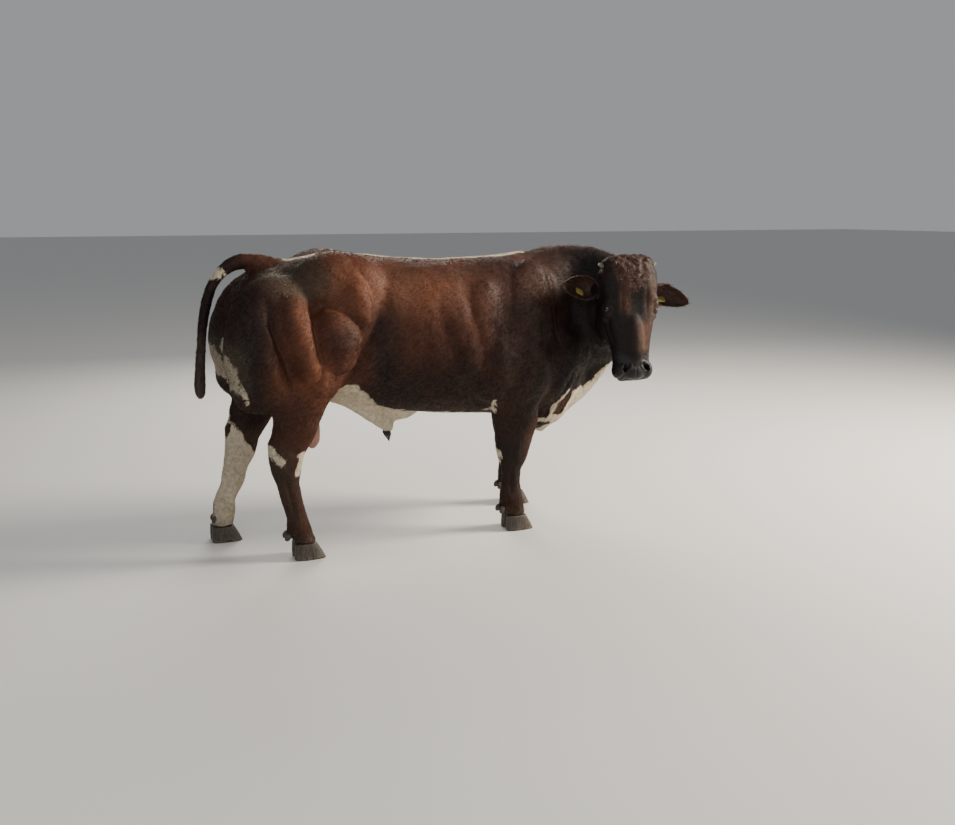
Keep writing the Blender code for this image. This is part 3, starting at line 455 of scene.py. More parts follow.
@dataclass
class HeadFrame:
    """The head's directions: side to its left, out of the forehead, and down the face.

    Lengths in these directions are head lengths: metres over the head's scale.
    """

    tilt: float = math.radians(9.0)
    eye_side: float = 0.113
    eye_out: float = 0.024

    def __post_init__(self) -> None:
        """Works the frame out from where the eyeballs of the solids are."""
        middles = {}
        for side in Side:
            low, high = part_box(f"eye_{side.word}")
            middles[side] = (np.array(low) + np.array(high)) / 2.0 + ORIGIN
            self.eye_radius = (high.z - low.z) / 2.0
        across = middles[Side.LEFT] - middles[Side.RIGHT]
        spread = float(np.linalg.norm(across))
        self.scale = spread / 2.0 / self.eye_side
        self.side = across / spread
        facing = np.array([self.side[1], -self.side[0], 0.0])
        up = np.array([0.0, 0.0, 1.0])
        self.down = facing * math.sin(self.tilt) - up * math.cos(self.tilt)
        self.out = facing * math.cos(self.tilt) + up * math.sin(self.tilt)
        middle = (middles[Side.LEFT] + middles[Side.RIGHT]) / 2.0
        self.centre = middle - self.out * self.eye_out * self.scale
        self.turn = np.stack([self.side, self.out, self.down])

    def local(self, places: np.ndarray) -> np.ndarray:
        """Side, out and down of places of the own frame."""
        return (places - self.centre) @ self.turn.T / self.scale

    def world(self, local: np.ndarray) -> np.ndarray:
        """Places of the own frame from side, out and down."""
        return np.asarray(local, float) @ self.turn * self.scale + self.centre

    def aim(self, local: np.ndarray) -> np.ndarray:
        """A direction of the own frame from side, out and down."""
        return np.asarray(local, float) @ self.turn

    def near(self, places: np.ndarray) -> np.ndarray:
        """1 on the head, falling to 0 where the neck takes over."""
        local = self.local(places)
        reach = np.linalg.norm(local * np.array([1.0, 0.9, 0.8]) - np.array([0, -0.02, 0.04]),
                               axis=1)
        return ease(0.36, 0.27, reach) * ease(-0.19, -0.13, local[:, 1])

    def eye_centre(self, side: Side) -> np.ndarray:
        """The middle of an eyeball in side, out and down."""
        return np.array([side.value * self.eye_side, self.eye_out, 0.0])

    def eye_look(self, side: Side) -> np.ndarray:
        """Where an eye looks in side, out and down."""
        return unit(np.array([side.value * 0.86, 0.48, 0.08]))

    def ear_root(self, side: Side) -> tuple[np.ndarray, np.ndarray]:
        """Where an ear leaves the head and the way it points, in side, out and down."""
        forward, lift = (0.34, -0.14) if side is Side.RIGHT else (0.14, 0.36)
        way = unit(np.array([side.value, forward, lift]))
        return np.array([side.value * 0.124, -0.050, -0.088]), way


HEAD = HeadFrame()


# Where the animal is white, dark, bare or dirty, and where sunlight and shade are painted on its
# coat.


@dataclass(frozen=True)
class Markings:
    """The markings, with painted sunlight and painted shade, as smooth fields over the own frame,
    the same for hide and coat.

    The spine's corners are given in x and y, seen from above, the keel's as whole places, and all
    others in x and z, seen from the side. A streak of painted sunlight is its strength, its width
    and its path.
    """

    spine: tuple = ((-0.42, 0.0), (-0.33, 0.0), (0.10, 0.0), (0.58, 0.0), (0.74, 0.0))
    keel: tuple = ((0.80, 0.0, 0.49), (0.92, 0.0, 0.54), (1.02, -0.005, 0.62), (1.10, -0.02, 0.70),
                   (1.17, -0.05, 0.80))
    belly_x: tuple = (-0.350, -0.315, -0.275, -0.227, -0.179, -0.145, -0.107, -0.068, -0.020, 0.041,
                      0.118, 0.264, 0.450, 0.620, 0.800)
    belly_top: tuple = (0.740, 0.755, 0.778, 0.808, 0.806, 0.774, 0.735, 0.694, 0.662, 0.645,
                        0.632, 0.622, 0.606, 0.585, 0.560)
    seat_x: tuple = (-0.703, -0.712, -0.730, -0.753, -0.785, -0.850)
    seat_z: tuple = (0.770, 0.820, 0.880, 0.940, 0.985, 1.040)
    seat_low: tuple = ((-0.838, -0.788, -0.758, -0.725, -0.705),
                       (0.860, 0.846, 0.836, 0.818, 0.780))
    brisket: tuple = (
        (0.780, 0.430), (0.839, 0.492), (0.880, 0.542), (0.926, 0.570), (0.961, 0.610),
        (0.978, 0.652), (0.983, 0.684), (1.085, 0.690), (1.130, 0.706), (1.150, 0.735),
        (1.183, 0.785), (1.225, 0.822), (1.300, 0.850))
    brisket_strip: tuple = ((0.925, 0.702), (0.897, 0.651), (0.868, 0.605), (0.843, 0.545))
    hock_spot: tuple = ((-0.598, 0.536), (-0.586, 0.500), (-0.564, 0.484))
    shin_spot: tuple = ((-0.458, 0.500), (-0.464, 0.455), (-0.480, 0.418))
    knee_spot: tuple = ((0.508, 0.490), (0.527, 0.420), (0.542, 0.345))
    elbow_spot: tuple = ((0.484, 0.690), (0.490, 0.645))
    # Streaks of painted sunlight on the thigh, over the real brown stripe of the chest, and down
    # the front of the arm.
    orange_streaks: tuple = (
        (1.0, 0.060, ((-0.46, 1.16), (-0.44, 1.00), (-0.41, 0.90), (-0.44, 0.83))),
        (1.3, 0.024, ((0.955, 0.745), (0.925, 0.650), (0.870, 0.560))),
        (1.2, 0.032, ((0.765, 0.724), (0.749, 0.653), (0.723, 0.562), (0.696, 0.482))),
    )

    def white(self, places: np.ndarray) -> np.ndarray:
        """Rough depth in metres inside the white, below 0 where the coat is brown.

        Args:
            places: Places of the own frame.

        Returns:
            The greatest of the depths inside the single patches.
        """
        fields = (self.stripe(places), self.seat(places), self.sock(places), self.spots(places),
                  self.front(places), self.belly(places),
                  in_ball(places, (-0.772, 0.0, 1.325), (0.050, 0.060, 0.036)))
        edge = 0.008 * ripple(places, 0.11, 5) + 0.004 * ripple(places, 0.035, 6)
        return np.max(fields, axis=0) + edge

    def stripe(self, places: np.ndarray) -> np.ndarray:
        """Depth inside the stripe along the spine, wide over the croup and thin over the loin.

        Args:
            places: Places of the own frame.

        Returns:
            The depth at each place, below 0 outside.
        """
        x, _, z = places.T
        half = 0.036 + 0.016 * hump(x + 0.36, 0.14) - 0.014 * hump(x - 0.12, 0.13)
        return np.minimum(half - gap_to(places[:, :2], self.spine), (z - 1.24) * 2.0)

    def seat(self, places: np.ndarray) -> np.ndarray:
        """Depth inside the white at the rear of both thighs, beside the tail.

        Args:
            places: Places of the own frame.

        Returns:
            The depth at each place, below 0 outside.
        """
        x, y, z = places.T
        cleft = 0.14 * ease(0.15, 0.08, np.abs(y))
        patch = np.interp(z, self.seat_z, self.seat_x) + cleft - x
        patch = np.minimum(patch, np.minimum(z - np.interp(x, *self.seat_low), 1.060 - z))
        return np.minimum(patch, np.hypot(x + 0.85, y) - 0.045)

    def sock(self, places: np.ndarray) -> np.ndarray:
        """Depth inside the white of the far hind leg, below a slant and before its dark rear edge.

        Args:
            places: Places of the own frame.

        Returns:
            The depth at each place, below 0 outside.
        """
        x, y, z = places.T
        leg = (0.600 - 1.55 * (x + 0.702) - z) / 1.85
        rear = np.interp(z, (0.430, 0.455, 0.500, 0.530, 0.600),
                         (-0.820, -0.752, -0.744, -0.729, -0.722))
        leg = np.minimum(leg, x - rear)
        leg = np.minimum(leg, np.minimum(y - 0.02, -0.40 - x))
        foot = in_ball(places, (0.806, 0.2, 0.150), (0.08, 0.08, 0.070))
        return np.maximum(leg, foot)

    def spots(self, places: np.ndarray) -> np.ndarray:
        """Depth inside the small patches of the near legs.

        Args:
            places: Places of the own frame.

        Returns:
            The depth at each place, below 0 outside.
        """
        seen = places[:, [0, 2]]
        shin, part = along_path(seen, self.shin_spot)
        patch = np.maximum.reduce([
            0.018 - gap_to(seen, self.hock_spot), 0.022 - 0.012 * part - shin,
            0.012 - gap_to(seen, self.knee_spot), 0.010 - gap_to(seen, self.elbow_spot)])
        return np.minimum(patch, -0.12 - places[:, 1])

    def front(self, places: np.ndarray) -> np.ndarray:
        """Depth inside the white of brisket and dewlap, and of the stripe behind its brown streak.

        Args:
            places: Places of the own frame.

        Returns:
            The depth at each place, below 0 outside.
        """
        x, y, z = places.T
        seen = places[:, [0, 2]]
        gap = gap_to(seen, self.brisket)
        below = np.where(z < np.interp(x, *zip(*self.brisket)), gap, -gap)
        below = np.minimum(below, np.minimum(x - 0.76, 0.17 - np.abs(y)))
        strip, part = along_path(seen, self.brisket_strip)
        strip = np.minimum(0.009 + 0.008 * part - strip, -y)
        return np.maximum(below, strip)

    def belly(self, places: np.ndarray) -> np.ndarray:
        """Depth inside the white of the belly, under a line that climbs into the flank.

        Args:
            places: Places of the own frame.

        Returns:
            The depth at each place, below 0 outside.
        """
        x, y, z = places.T
        line = np.interp(x, self.belly_x, self.belly_top)
        reach = np.interp(x, (-0.45, -0.33, -0.25, -0.10, 0.05, 0.30),
                          (0.17, 0.21, 0.26, 0.24, 0.20, 0.16))
        patch = np.minimum(line - z, reach - np.abs(y))
        floor = np.interp(x, (0.30, 0.55), (0.44, 0.53))
        return np.minimum(np.minimum(patch, (z - floor) * 2.0), np.minimum(x + 0.36, 0.90 - x))

    def dark(self, places: np.ndarray) -> np.ndarray:
        """How far the brown goes to black, from 0 to 1: darker hair on head and neck, and painted
        shade on the rear of the thighs, the lower barrel, the flank and the shoulder.

        Args:
            places: Places of the own frame.

        Returns:
            High on head, neck, rear of the thighs, tail and lower legs.
        """
        x, _, z = places.T
        neck = ease(0.66, 0.98, x + 0.22 * (1.05 - z)) * ease(0.52, 0.75, z)
        # Painted shade: the rear of the thighs and the tail are darkened as if turned away from the
        # light.
        rear = 0.78 * ease(-0.50, -0.70, x + 0.16 * (z - 1.0)) * ease(0.40, 0.70, z)
        leg = 0.55 * ease(0.62, 0.42, z)
        # Painted shade: the lower barrel, the hollow of the flank and the shoulder are darkened.
        belly = 0.72 * ease(1.05, 0.74, z) * ease(-0.22, -0.10, x)
        flank = 0.74 * hump(x + 0.06, 0.10) * ease(1.28, 1.08, z)
        arm = 0.72 * ease(0.36, 0.50, x) * ease(1.28, 1.06, z)
        cloud = 0.10 * ripple(places, 0.30, 11)
        return np.clip(np.maximum.reduce([neck, rear, leg, belly, flank, arm]) + cloud, 0.0, 1.0)

    def warm(self, places: np.ndarray) -> np.ndarray:
        """How far the brown goes to orange, from 0 to 1: painted sunlight on the swell of hip, loin
        and thigh, on the fronts of the lower legs and along streaks.

        Args:
            places: Places of the own frame.

        Returns:
            A number from 0 to 1 for each place.
        """
        x, _, z = places.T
        # Painted sunlight: these swells and the fronts of the lower legs turn orange where they
        # face the light.
        hip = 0.8 * hump(x + 0.24, 0.17) * hump(z - 1.27, 0.14)
        loin = 0.9 * hump(x - 0.16, 0.22) * hump(z - 1.23, 0.10)
        thigh = hump(x + 0.57, 0.06) * hump(z - 0.85, 0.09)
        front = 0.8 * ease(0.03, -0.01, np.abs(x - 0.69) - 0.02) * ease(0.62, 0.40, z)
        hind = 0.6 * hump(x + 0.43, 0.05) * ease(0.42, 0.25, z)
        total = hip + loin + thigh + front + hind
        for strength, width, path in self.orange_streaks:
            total += strength * hump(gap_to(places[:, [0, 2]], path), width)
        return np.clip(total, 0.0, 1.0)

    def face(self, places: np.ndarray) -> np.ndarray:
        """1 where painted sunlight falls on the dark face: the near brow, the far side of the
        bridge of the nose and the far cheek.

        Args:
            places: Places of the own frame.

        Returns:
            A number from 0 to 1 for each place.
        """
        side, out, down = HEAD.local(places).T
        # Painted sunlight on the facets of the face that turn towards the light.
        bridge = hump(side - 0.045, 0.040) * ease(0.040, 0.090, down) * ease(0.215, 0.175, down)
        brow = (0.7 * hump(side + 0.045, 0.026) * ease(-0.150, -0.110, down)
                * ease(0.045, 0.000, down))
        cheek = (0.6 * hump(side - 0.092, 0.030) * ease(-0.150, -0.110, down)
                 * ease(0.130, 0.070, down))
        return np.clip((bridge * ease(0.02, 0.05, out) + brow + cheek) * HEAD.near(places),
                       0.0, 1.0)

    def bare(self, places: np.ndarray) -> np.ndarray:
        """1 on the pale skin of the scrotum and between the thighs."""
        x, y, z = places.T
        return ease(0.095, 0.070, np.hypot(x + 0.362, y)) * ease(0.72, 0.66, z)

    def nose(self, places: np.ndarray) -> np.ndarray:
        """1 on the moist nose pad and the lips.

        Args:
            places: Places of the own frame.

        Returns:
            A number from 0 to 1 for each place.
        """
        side, out, down = HEAD.local(places).T
        pad = (ease(0.232, 0.262, down + 0.05 * np.abs(side) / 0.08)
               * ease(0.120, 0.080, np.abs(side)))
        lips = ease(0.285, 0.300, down)
        return np.clip(np.maximum(pad * ease(-0.01, 0.02, out), lips) * HEAD.near(places), 0.0, 1.0)

    def dirt_and_shade(self, places: np.ndarray) -> np.ndarray:
        """How much dry dirt hangs in the coat, with painted shade at the seat: most high on the
        near rump, less at seat and feet.

        Args:
            places: Places of the own frame.

        Returns:
            A number from 0 to 1 for each place.
        """
        patch = ease(-0.03, 0.05, in_ball(places, (-0.440, -0.180, 1.290), (0.185, 0.170, 0.120)))
        x, _, z = places.T
        feet = 0.8 * ease(0.15, 0.09, z)
        # Dirt and painted shade: the rear-facing white seat is darkened for its dirt and as shade.
        seat = 0.95 * ease(-0.66, -0.74, x) * ease(0.76, 0.84, z) * ease(1.08, 0.98, z)
        stain = 0.35 * ease(0.62, 0.50, z) * ease(-0.45, -0.55, x)
        return np.clip(np.maximum.reduce([patch, feet, seat, stain]), 0.0, 1.0)

    def fields(self, places: np.ndarray) -> dict[str, np.ndarray]:
        """Every field at places of the own frame, by name."""
        names = ("white", "dark", "warm", "face", "bare", "nose", "dirt_and_shade")
        return {name: getattr(self, name)(places) for name in names}

    def put(self, mesh: bpy.types.Mesh, places: np.ndarray) -> None:
        """Writes every field to a mesh, for the place whose marking each vertex takes."""
        for name, values in self.fields(places).items():
            set_field(mesh, name, values)


MARKINGS = Markings()


# Shader maths.


class Wire:
    """A socket of a finish that adds, multiplies and compares like a number."""

    def __init__(self, board: "Board", socket: bpy.types.NodeSocket) -> None:
        """Keeps the socket and the board it is on."""
        self.board = board
        self.socket = socket

    def _math(self, operation: str, *values: "Wire | float") -> "Wire":
        """One Math node on numbers or wires."""
        return self.board.add("ShaderNodeMath", {"operation": operation}, dict(enumerate(values)))

    def __add__(self, other: "Wire | float") -> "Wire":
        """This and other."""
        return self._math("ADD", self, other)

    __radd__ = __add__

    def __sub__(self, other: "Wire | float") -> "Wire":
        """This less other."""
        return self._math("SUBTRACT", self, other)

    def __rsub__(self, other: "Wire | float") -> "Wire":
        """Other less this."""
        return self._math("SUBTRACT", other, self)

    def __mul__(self, other: "Wire | float") -> "Wire":
        """This times other."""
        return self._math("MULTIPLY", self, other)

    __rmul__ = __mul__

    def __truediv__(self, other: "Wire | float") -> "Wire":
        """This over other."""
        return self._math("DIVIDE", self, other)

    def __pow__(self, other: "Wire | float") -> "Wire":
        """This to a power."""
        return self._math("POWER", self, other)

    def sine(self) -> "Wire":
        """The sine of this, in radians."""
        return self._math("SINE", self)

    def least(self, other: "Wire | float") -> "Wire":
        """The lesser of this and other."""
        return self._math("MINIMUM", self, other)

    def rise(self, low: float, high: float) -> "Wire":
        """0 below low, 1 above high, smooth between."""
        return self.board.add("ShaderNodeMapRange", {"interpolation_type": "SMOOTHSTEP"},
                              {"Value": self, "From Min": low, "From Max": high})

    def fall(self, low: float, high: float) -> "Wire":
        """1 below low, 0 above high, smooth between."""
        return 1.0 - self.rise(low, high)


class Board:
    """One finish as a node tree with a Principled shader."""

    def __init__(self, name: str) -> None:
        """Makes the material.

        Args:
            name: The finish's name.
        """
        self.material = bpy.data.materials.new(name)
        self.material.use_nodes = True
        self.tree = self.material.node_tree
        self.shader = self.tree.nodes["Principled BSDF"]
        self.object_place = self.add("ShaderNodeTexCoord", {}, {}, "Object")

    def add(self, kind: str, settings: dict, values: dict, output: int | str = 0) -> Wire:
        """Adds a node.

        Args:
            kind: The node's type.
            settings: Its properties.
            values: Numbers, tuples or wires by the number or name of the socket.
            output: The socket that is given back.

        Returns:
            The wire of that socket.
        """
        node = self.tree.nodes.new(kind)
        for key, value in settings.items():
            setattr(node, key, value)
        for key, value in values.items():
            self.feed(node.inputs[key], value)
        return Wire(self, node.outputs[output])

    def feed(self, socket: bpy.types.NodeSocket, value: Wire | float | tuple) -> None:
        """Links a wire to a socket, or sets it to a number or tuple.

        Args:
            socket: The socket.
            value: What it gets.
        """
        if isinstance(value, Wire):
            self.tree.links.new(value.socket, socket)
        else:
            socket.default_value = value

    def field(self, name: str) -> Wire:
        """Reads an attribute of the piece."""
        return self.add("ShaderNodeAttribute", {"attribute_name": name}, {}, "Fac")

    def stretched(self, scale: Sequence[float], turn: Sequence[float] = (0, 0, 0)) -> Wire:
        """Object coordinates turned, then scaled on each axis."""
        return self.add("ShaderNodeMapping", {"vector_type": "POINT"}, {
            "Vector": self.object_place, "Scale": tuple(scale),
            "Rotation": tuple(math.radians(angle) for angle in turn)})

    def noise(self, scale: float, detail: float = 2.0, source: Wire | None = None,
              rough: float = 0.5) -> Wire:
        """Noise of 0 to 1 about one half."""
        return self.add("ShaderNodeTexNoise", {}, {
            "Vector": source or self.object_place, "Scale": scale, "Detail": detail,
            "Roughness": rough})

    def cells(self, scale: float) -> Wire:
        """Distance to the nearest of random points."""
        return self.add("ShaderNodeTexVoronoi", {}, {"Vector": self.object_place, "Scale": scale})

    def blend(self, part: Wire | float, first: Wire | tuple, second: Wire | tuple) -> Wire:
        """A colour between two, each a tuple or a wire.

        Args:
            part: How much of the second.
            first: One colour.
            second: The other.

        Returns:
            The colour.
        """
        def full(colour: Wire | tuple) -> Wire | tuple:
            """A wire as it is, or a tuple with its opacity."""
            return colour if isinstance(colour, Wire) else (*colour, 1.0)

        return self.add("ShaderNodeMix", {"data_type": "RGBA"},
                        {0: part, 6: full(first), 7: full(second)}, 2)

    def scaled(self, colour: Wire, factor: Wire | float) -> Wire:
        """A colour times a number."""
        return self.add("ShaderNodeVectorMath", {"operation": "SCALE"},
                        {0: colour, "Scale": factor})

    def bump(self, height: Wire, distance: float, strength: float = 1.0) -> None:
        """Feeds a height to the shader's normal."""
        self.set("Normal", self.add("ShaderNodeBump", {}, {
            "Height": height, "Distance": distance, "Strength": strength}))

    def set(self, name: str, value: Wire | float) -> None:
        """Sets or links one of the shader's sockets."""
        self.feed(self.shader.inputs[name], value)


# Finishes.


@dataclass(frozen=True)
class CoatFinish:
    """Short mahogany and white hair, for the hide and for tufts, with painted sunlight and painted
    shade.
    """

    brown: tuple = (0.073, 0.0240, 0.0125)
    deep: tuple = (0.032, 0.0115, 0.0070)
    # Orange of painted sunlight on the hair.
    orange: tuple = (0.150, 0.052, 0.024)
    # Brown of painted sunlight on the dark face.
    tan: tuple = (0.120, 0.050, 0.028)
    # Near black of the dark head and neck, also the colour of painted shade.
    black: tuple = (0.0085, 0.0062, 0.0058)
    cream: tuple = (0.68, 0.60, 0.46)
    cream_shade: tuple = (0.33, 0.26, 0.17)
    skin: tuple = (0.46, 0.26, 0.20)
    slate: tuple = (0.015, 0.013, 0.013)
    # Dirt, also the colour of painted shade over the seat.
    dirt: tuple = (0.060, 0.048, 0.032)
    dry_dirt: tuple = (0.150, 0.130, 0.090)

    def colour(self, board: Board) -> Wire:
        """The colour of hair at each place.

        Args:
            board: The finish it is made for.

        Returns:
            The colour, still without dirt.
        """
        cloud = board.noise(3.2, 3.0)
        fleck = board.noise(60.0, 2.0)
        fine = board.noise(260.0, 2.0)
        ragged = (board.noise(45.0, 3.0) - 0.5) * 0.020 + (fine - 0.5) * 0.006
        white = (board.field("white") + ragged).rise(-0.0025, 0.0025)
        tone = board.blend(cloud.rise(0.35, 0.68), self.deep, self.brown)
        # Painted sunlight: the warm field turns the brown towards orange.
        tone = board.blend(board.field("warm") * (cloud * 0.6 + 0.45), tone, self.orange)
        # The dark field: darker hair of head and neck, and painted shade on rear, lower barrel,
        # flank and shoulder.
        dark = board.field("dark") * (0.80 + 0.35 * cloud)
        tone = board.blend(dark.least(0.94), tone, self.black)
        # Painted sunlight on the face: near brow, bridge and far cheek.
        tone = board.blend(board.field("face") * (0.20 + 0.7 * fleck), tone, self.tan)
        tone = board.scaled(tone, 0.70 + 0.6 * fleck)
        milk = board.blend((fleck * 1.2 + board.noise(7.0, 3.0) * 0.5 - 0.35).least(1.0),
                           self.cream_shade, self.cream)
        colour = board.blend(white, tone, milk)
        flesh = board.blend(board.noise(30.0, 3.0), (0.30, 0.16, 0.12), self.skin)
        colour = board.blend(board.field("bare"), colour, flesh)
        return board.blend(board.field("nose"), colour, self.slate)

    def dirty(self, board: Board, colour: Wire) -> tuple[Wire, Wire]:
        """Adds dirt where it hangs in the coat, and with it painted shade over the seat.

        Args:
            board: The finish it is made for.
            colour: The clean colour.

        Returns:
            The colour with dirt, and the height of the crust.
        """
        clods = board.cells(95.0).fall(0.16, 0.52)
        crust = board.field("dirt_and_shade") * clods * board.noise(26.0, 2.0).rise(0.42, 0.60)
        # Dust, and painted shade at the seat, from the dirt field.
        dust = board.field("dirt_and_shade") * 0.55
        colour = board.blend(dust, colour, self.dirt)
        dried = board.noise(150.0, 2.0).rise(0.50, 0.62)
        return board.blend(crust, colour, board.blend(dried, self.dirt, self.dry_dirt)), crust

    def hide(self) -> bpy.types.Material:
        """The finish of the hide, its hair as fine bump.

        Returns:
            The material.
        """
        board = Board("hide_coat")
        colour, crust = self.dirty(board, self.colour(board))
        combed = board.noise(1.0, 3.0, board.stretched((95.0, 420.0, 300.0), (0, 28, 0)), 0.6)
        upright = board.noise(1.0, 3.0, board.stretched((380.0, 380.0, 70.0)), 0.6)
        low = board.field("lower")
        hair = combed * (1.0 - low) + upright * low
        pores = board.cells(420.0)
        nose = board.field("nose")
        height = hair * (1.0 - nose) * (1.0 - board.field("bare") * 0.7)
        height = height + nose * pores.fall(0.1, 0.6) * 0.45 + crust * 3.0
        height = height + board.noise(24.0, 3.0) * 0.7
        board.bump(height, 0.0013, 0.8)
        board.set("Base Color", board.scaled(colour, 0.80 + hair * 0.40))
        board.set("Roughness", 0.54 + 0.12 * hair + crust * 0.3 - nose * 0.24)
        board.set("Specular IOR Level", 0.22)
        return board.material

    def tufts(self) -> bpy.types.Material:
        """The finish of solid tufts, each a shade of its own.

        Returns:
            The material.
        """
        board = Board("tuft_coat")
        colour, _ = self.dirty(board, self.colour(board))
        tint, tip = board.field("tint"), board.field("tip")
        board.set("Base Color", board.scaled(colour, 0.62 + 0.55 * tint + 0.42 * tip))
        board.set("Roughness", 0.70 - 0.10 * tint)
        board.set("Specular IOR Level", 0.10)
        return board.material


@dataclass(frozen=True)
class FuzzFinish:
    """Longer reddish or dark hair of crest, poll, ears, tail and sheath."""

    name: str
    root: tuple
    tip: tuple
    roughness: float = 0.55

    def material(self) -> bpy.types.Material:
        """The finish, darker at the roots and varied from tuft to tuft.

        Returns:
            The material.
        """
        board = Board(self.name)
        along, tint = board.field("tip"), board.field("tint")
        colour = board.blend((along * 0.75 + tint * 0.35).least(1.0), self.root, self.tip)
        streak = board.noise(240.0, 2.0)
        board.set("Base Color", board.scaled(colour, 0.65 + 0.7 * streak))
        board.set("Roughness", self.roughness + 0.1 * streak)
        board.set("Specular IOR Level", 0.40)
        return board.material


@dataclass(frozen=True)
class HornFinish:
    """Horn of hooves, dewclaws and horn buds."""

    name: str
    dark: tuple
    pale: tuple
    ring_height: float = 0.008

    def material(self) -> bpy.types.Material:
        """The finish, ringed across and streaked down, dirty at the ground.

        Returns:
            The material.
        """
        board = Board(self.name)
        height = board.add("ShaderNodeSeparateXYZ", {}, {0: board.object_place}, "Z")
        turns = height / self.ring_height + board.noise(22.0, 2.0) * 1.3
        rings = (turns * (2.0 * math.pi)).sine()
        streak = board.noise(1.0, 3.0, board.stretched((240.0, 240.0, 14.0)))
        colour = board.blend(streak.rise(0.35, 0.7), self.dark, self.pale)
        mud = height.fall(0.004, 0.040) * board.noise(70.0, 3.0).rise(0.40, 0.62)
        colour = board.blend(mud, colour, (0.10, 0.078, 0.050))
        board.set("Base Color", colour)
        board.set("Roughness", 0.42 + 0.25 * streak + 0.2 * mud)
        board.bump(rings * 0.35 + streak + mud * 1.5, 0.0007, 0.7)
        return board.material


@dataclass(frozen=True)
class EyeFinish:
    """A wet dark eye with a brown iris and a wide pupil."""

    iris: tuple = (0.042, 0.020, 0.010)
    pupil: tuple = (0.004, 0.005, 0.007)
    white: tuple = (0.062, 0.046, 0.038)

    def material(self) -> bpy.types.Material:
        """The finish, read from the gaze attributes of the eyeball.

        Returns:
            The material.
        """
        board = Board("wet_eye")
        across, high = board.field("gaze_across"), board.field("gaze_high")
        reach = (across * across + high * high) ** 0.5
        hole = ((across / 0.40) ** 2.0 + (high / 0.24) ** 2.0).fall(0.85, 1.10)
        fibres = board.noise(420.0, 3.0)
        iris = board.scaled(board.blend(fibres, self.iris, (0.020, 0.008, 0.004)), 1.2)
        colour = board.blend(reach.rise(0.70, 0.80), iris, self.white)
        colour = board.blend(reach.rise(0.60, 0.70) * reach.fall(0.74, 0.84), colour, self.pupil)
        board.set("Base Color", board.blend(hole, colour, self.pupil))
        board.set("Roughness", 0.12)
        board.set("Specular IOR Level", 0.35)
        board.set("Coat Weight", 0.35)
        board.set("Coat Roughness", 0.02)
        return board.material


@dataclass(frozen=True)
class TagFinish:
    """Worn yellow plastic of an ear tag."""

    yellow: tuple = (0.36, 0.28, 0.050)
    worn: tuple = (0.20, 0.17, 0.060)

    def material(self) -> bpy.types.Material:
        """The finish, scuffed and dirty.

        Returns:
            The material.
        """
        board = Board("tag_plastic")
        scuff = board.noise(190.0, 4.0)
        patch = board.noise(38.0, 3.0)
        colour = board.blend(patch.rise(0.35, 0.7), self.yellow, self.worn)
        colour = board.blend(scuff.rise(0.60, 0.72) * 0.7, colour, (0.10, 0.085, 0.045))
        board.set("Base Color", colour)
        board.set("Roughness", 0.38 + 0.3 * scuff)
        board.bump(scuff, 0.0002, 0.5)
        return board.material


@dataclass(frozen=True)
class EarFinish:
    """Thin skin of the ears, dark and furred outside, browner and bare within; the inside is kept
    dark as painted shade, and the rim towards the tip is orange as painted sunlight.
    """

    outer: tuple = (0.013, 0.0075, 0.0062)
    # Inner skin darkened as painted shade.
    inner: tuple = (0.048, 0.022, 0.016)
    # Orange of painted sunlight on the rim near the tip.
    rim: tuple = (0.085, 0.034, 0.019)

    def material(self) -> bpy.types.Material:
        """The finish, veined within and combed outside.

        Returns:
            The material.
        """
        board = Board("ear_skin")
        inner, along = board.field("inner"), board.field("along")
        mottle = board.noise(70.0, 3.0)
        combed = board.noise(1.0, 3.0, board.stretched((90.0, 380.0, 380.0), (0, 0, -40)), 0.6)
        colour = board.blend(inner * (0.55 + 0.7 * mottle), self.outer, self.inner)
        # Painted sunlight: the rim turns orange towards the tip.
        colour = board.blend(along.rise(0.62, 0.98) * combed, colour, self.rim)
        board.set("Base Color", board.scaled(colour, 0.65 + 0.7 * combed))
        board.set("Roughness", 0.52 + 0.2 * combed)
        board.bump(combed + mottle * 0.4, 0.0008, 0.7)
        return board.material


@dataclass(frozen=True)
class FloorFinish:
    """A pale matte studio floor."""

    pale: tuple = (0.58, 0.58, 0.57)

    def material(self) -> bpy.types.Material:
        """The finish, nearly even.

        Returns:
            The material.
        """
        board = Board("studio_floor")
        board.set("Base Color",
                  board.blend(board.noise(2.0, 2.0) * 0.3, self.pale, (0.53, 0.53, 0.52)))
        board.set("Roughness", 0.8)
        return board.material


# Relief of the hide.


@dataclass(frozen=True)
class Fold:
    """A crease along a path seen from the side, with raised shoulders."""

    path: tuple
    width: float
    depth: float
    sides: tuple = (Side.RIGHT, Side.LEFT)
    inner: float = 0.06

    def height(self, places: np.ndarray) -> np.ndarray:
        """Height of the crease at each place.

        Args:
            places: Places of the own frame.

        Returns:
            Minus depth times a bell of the distance, plus a low swell on both sides, fading at the
            path's ends and towards the plane of the spine.
        """
        gap, part = along_path(places[:, [0, 2]], self.path)
        line = -hump(gap, self.width) + 0.25 * hump(gap - 3.0 * self.width, 2.0 * self.width)
        ends = ease(0.0, 0.18, part) * ease(1.0, 0.82, part)
        total = np.zeros(len(places))
        for side in self.sides:
            total += ease(self.inner, self.inner + 0.05, places[:, 1] * side.value)
        return self.depth * line * (0.25 + 0.75 * ends) * total


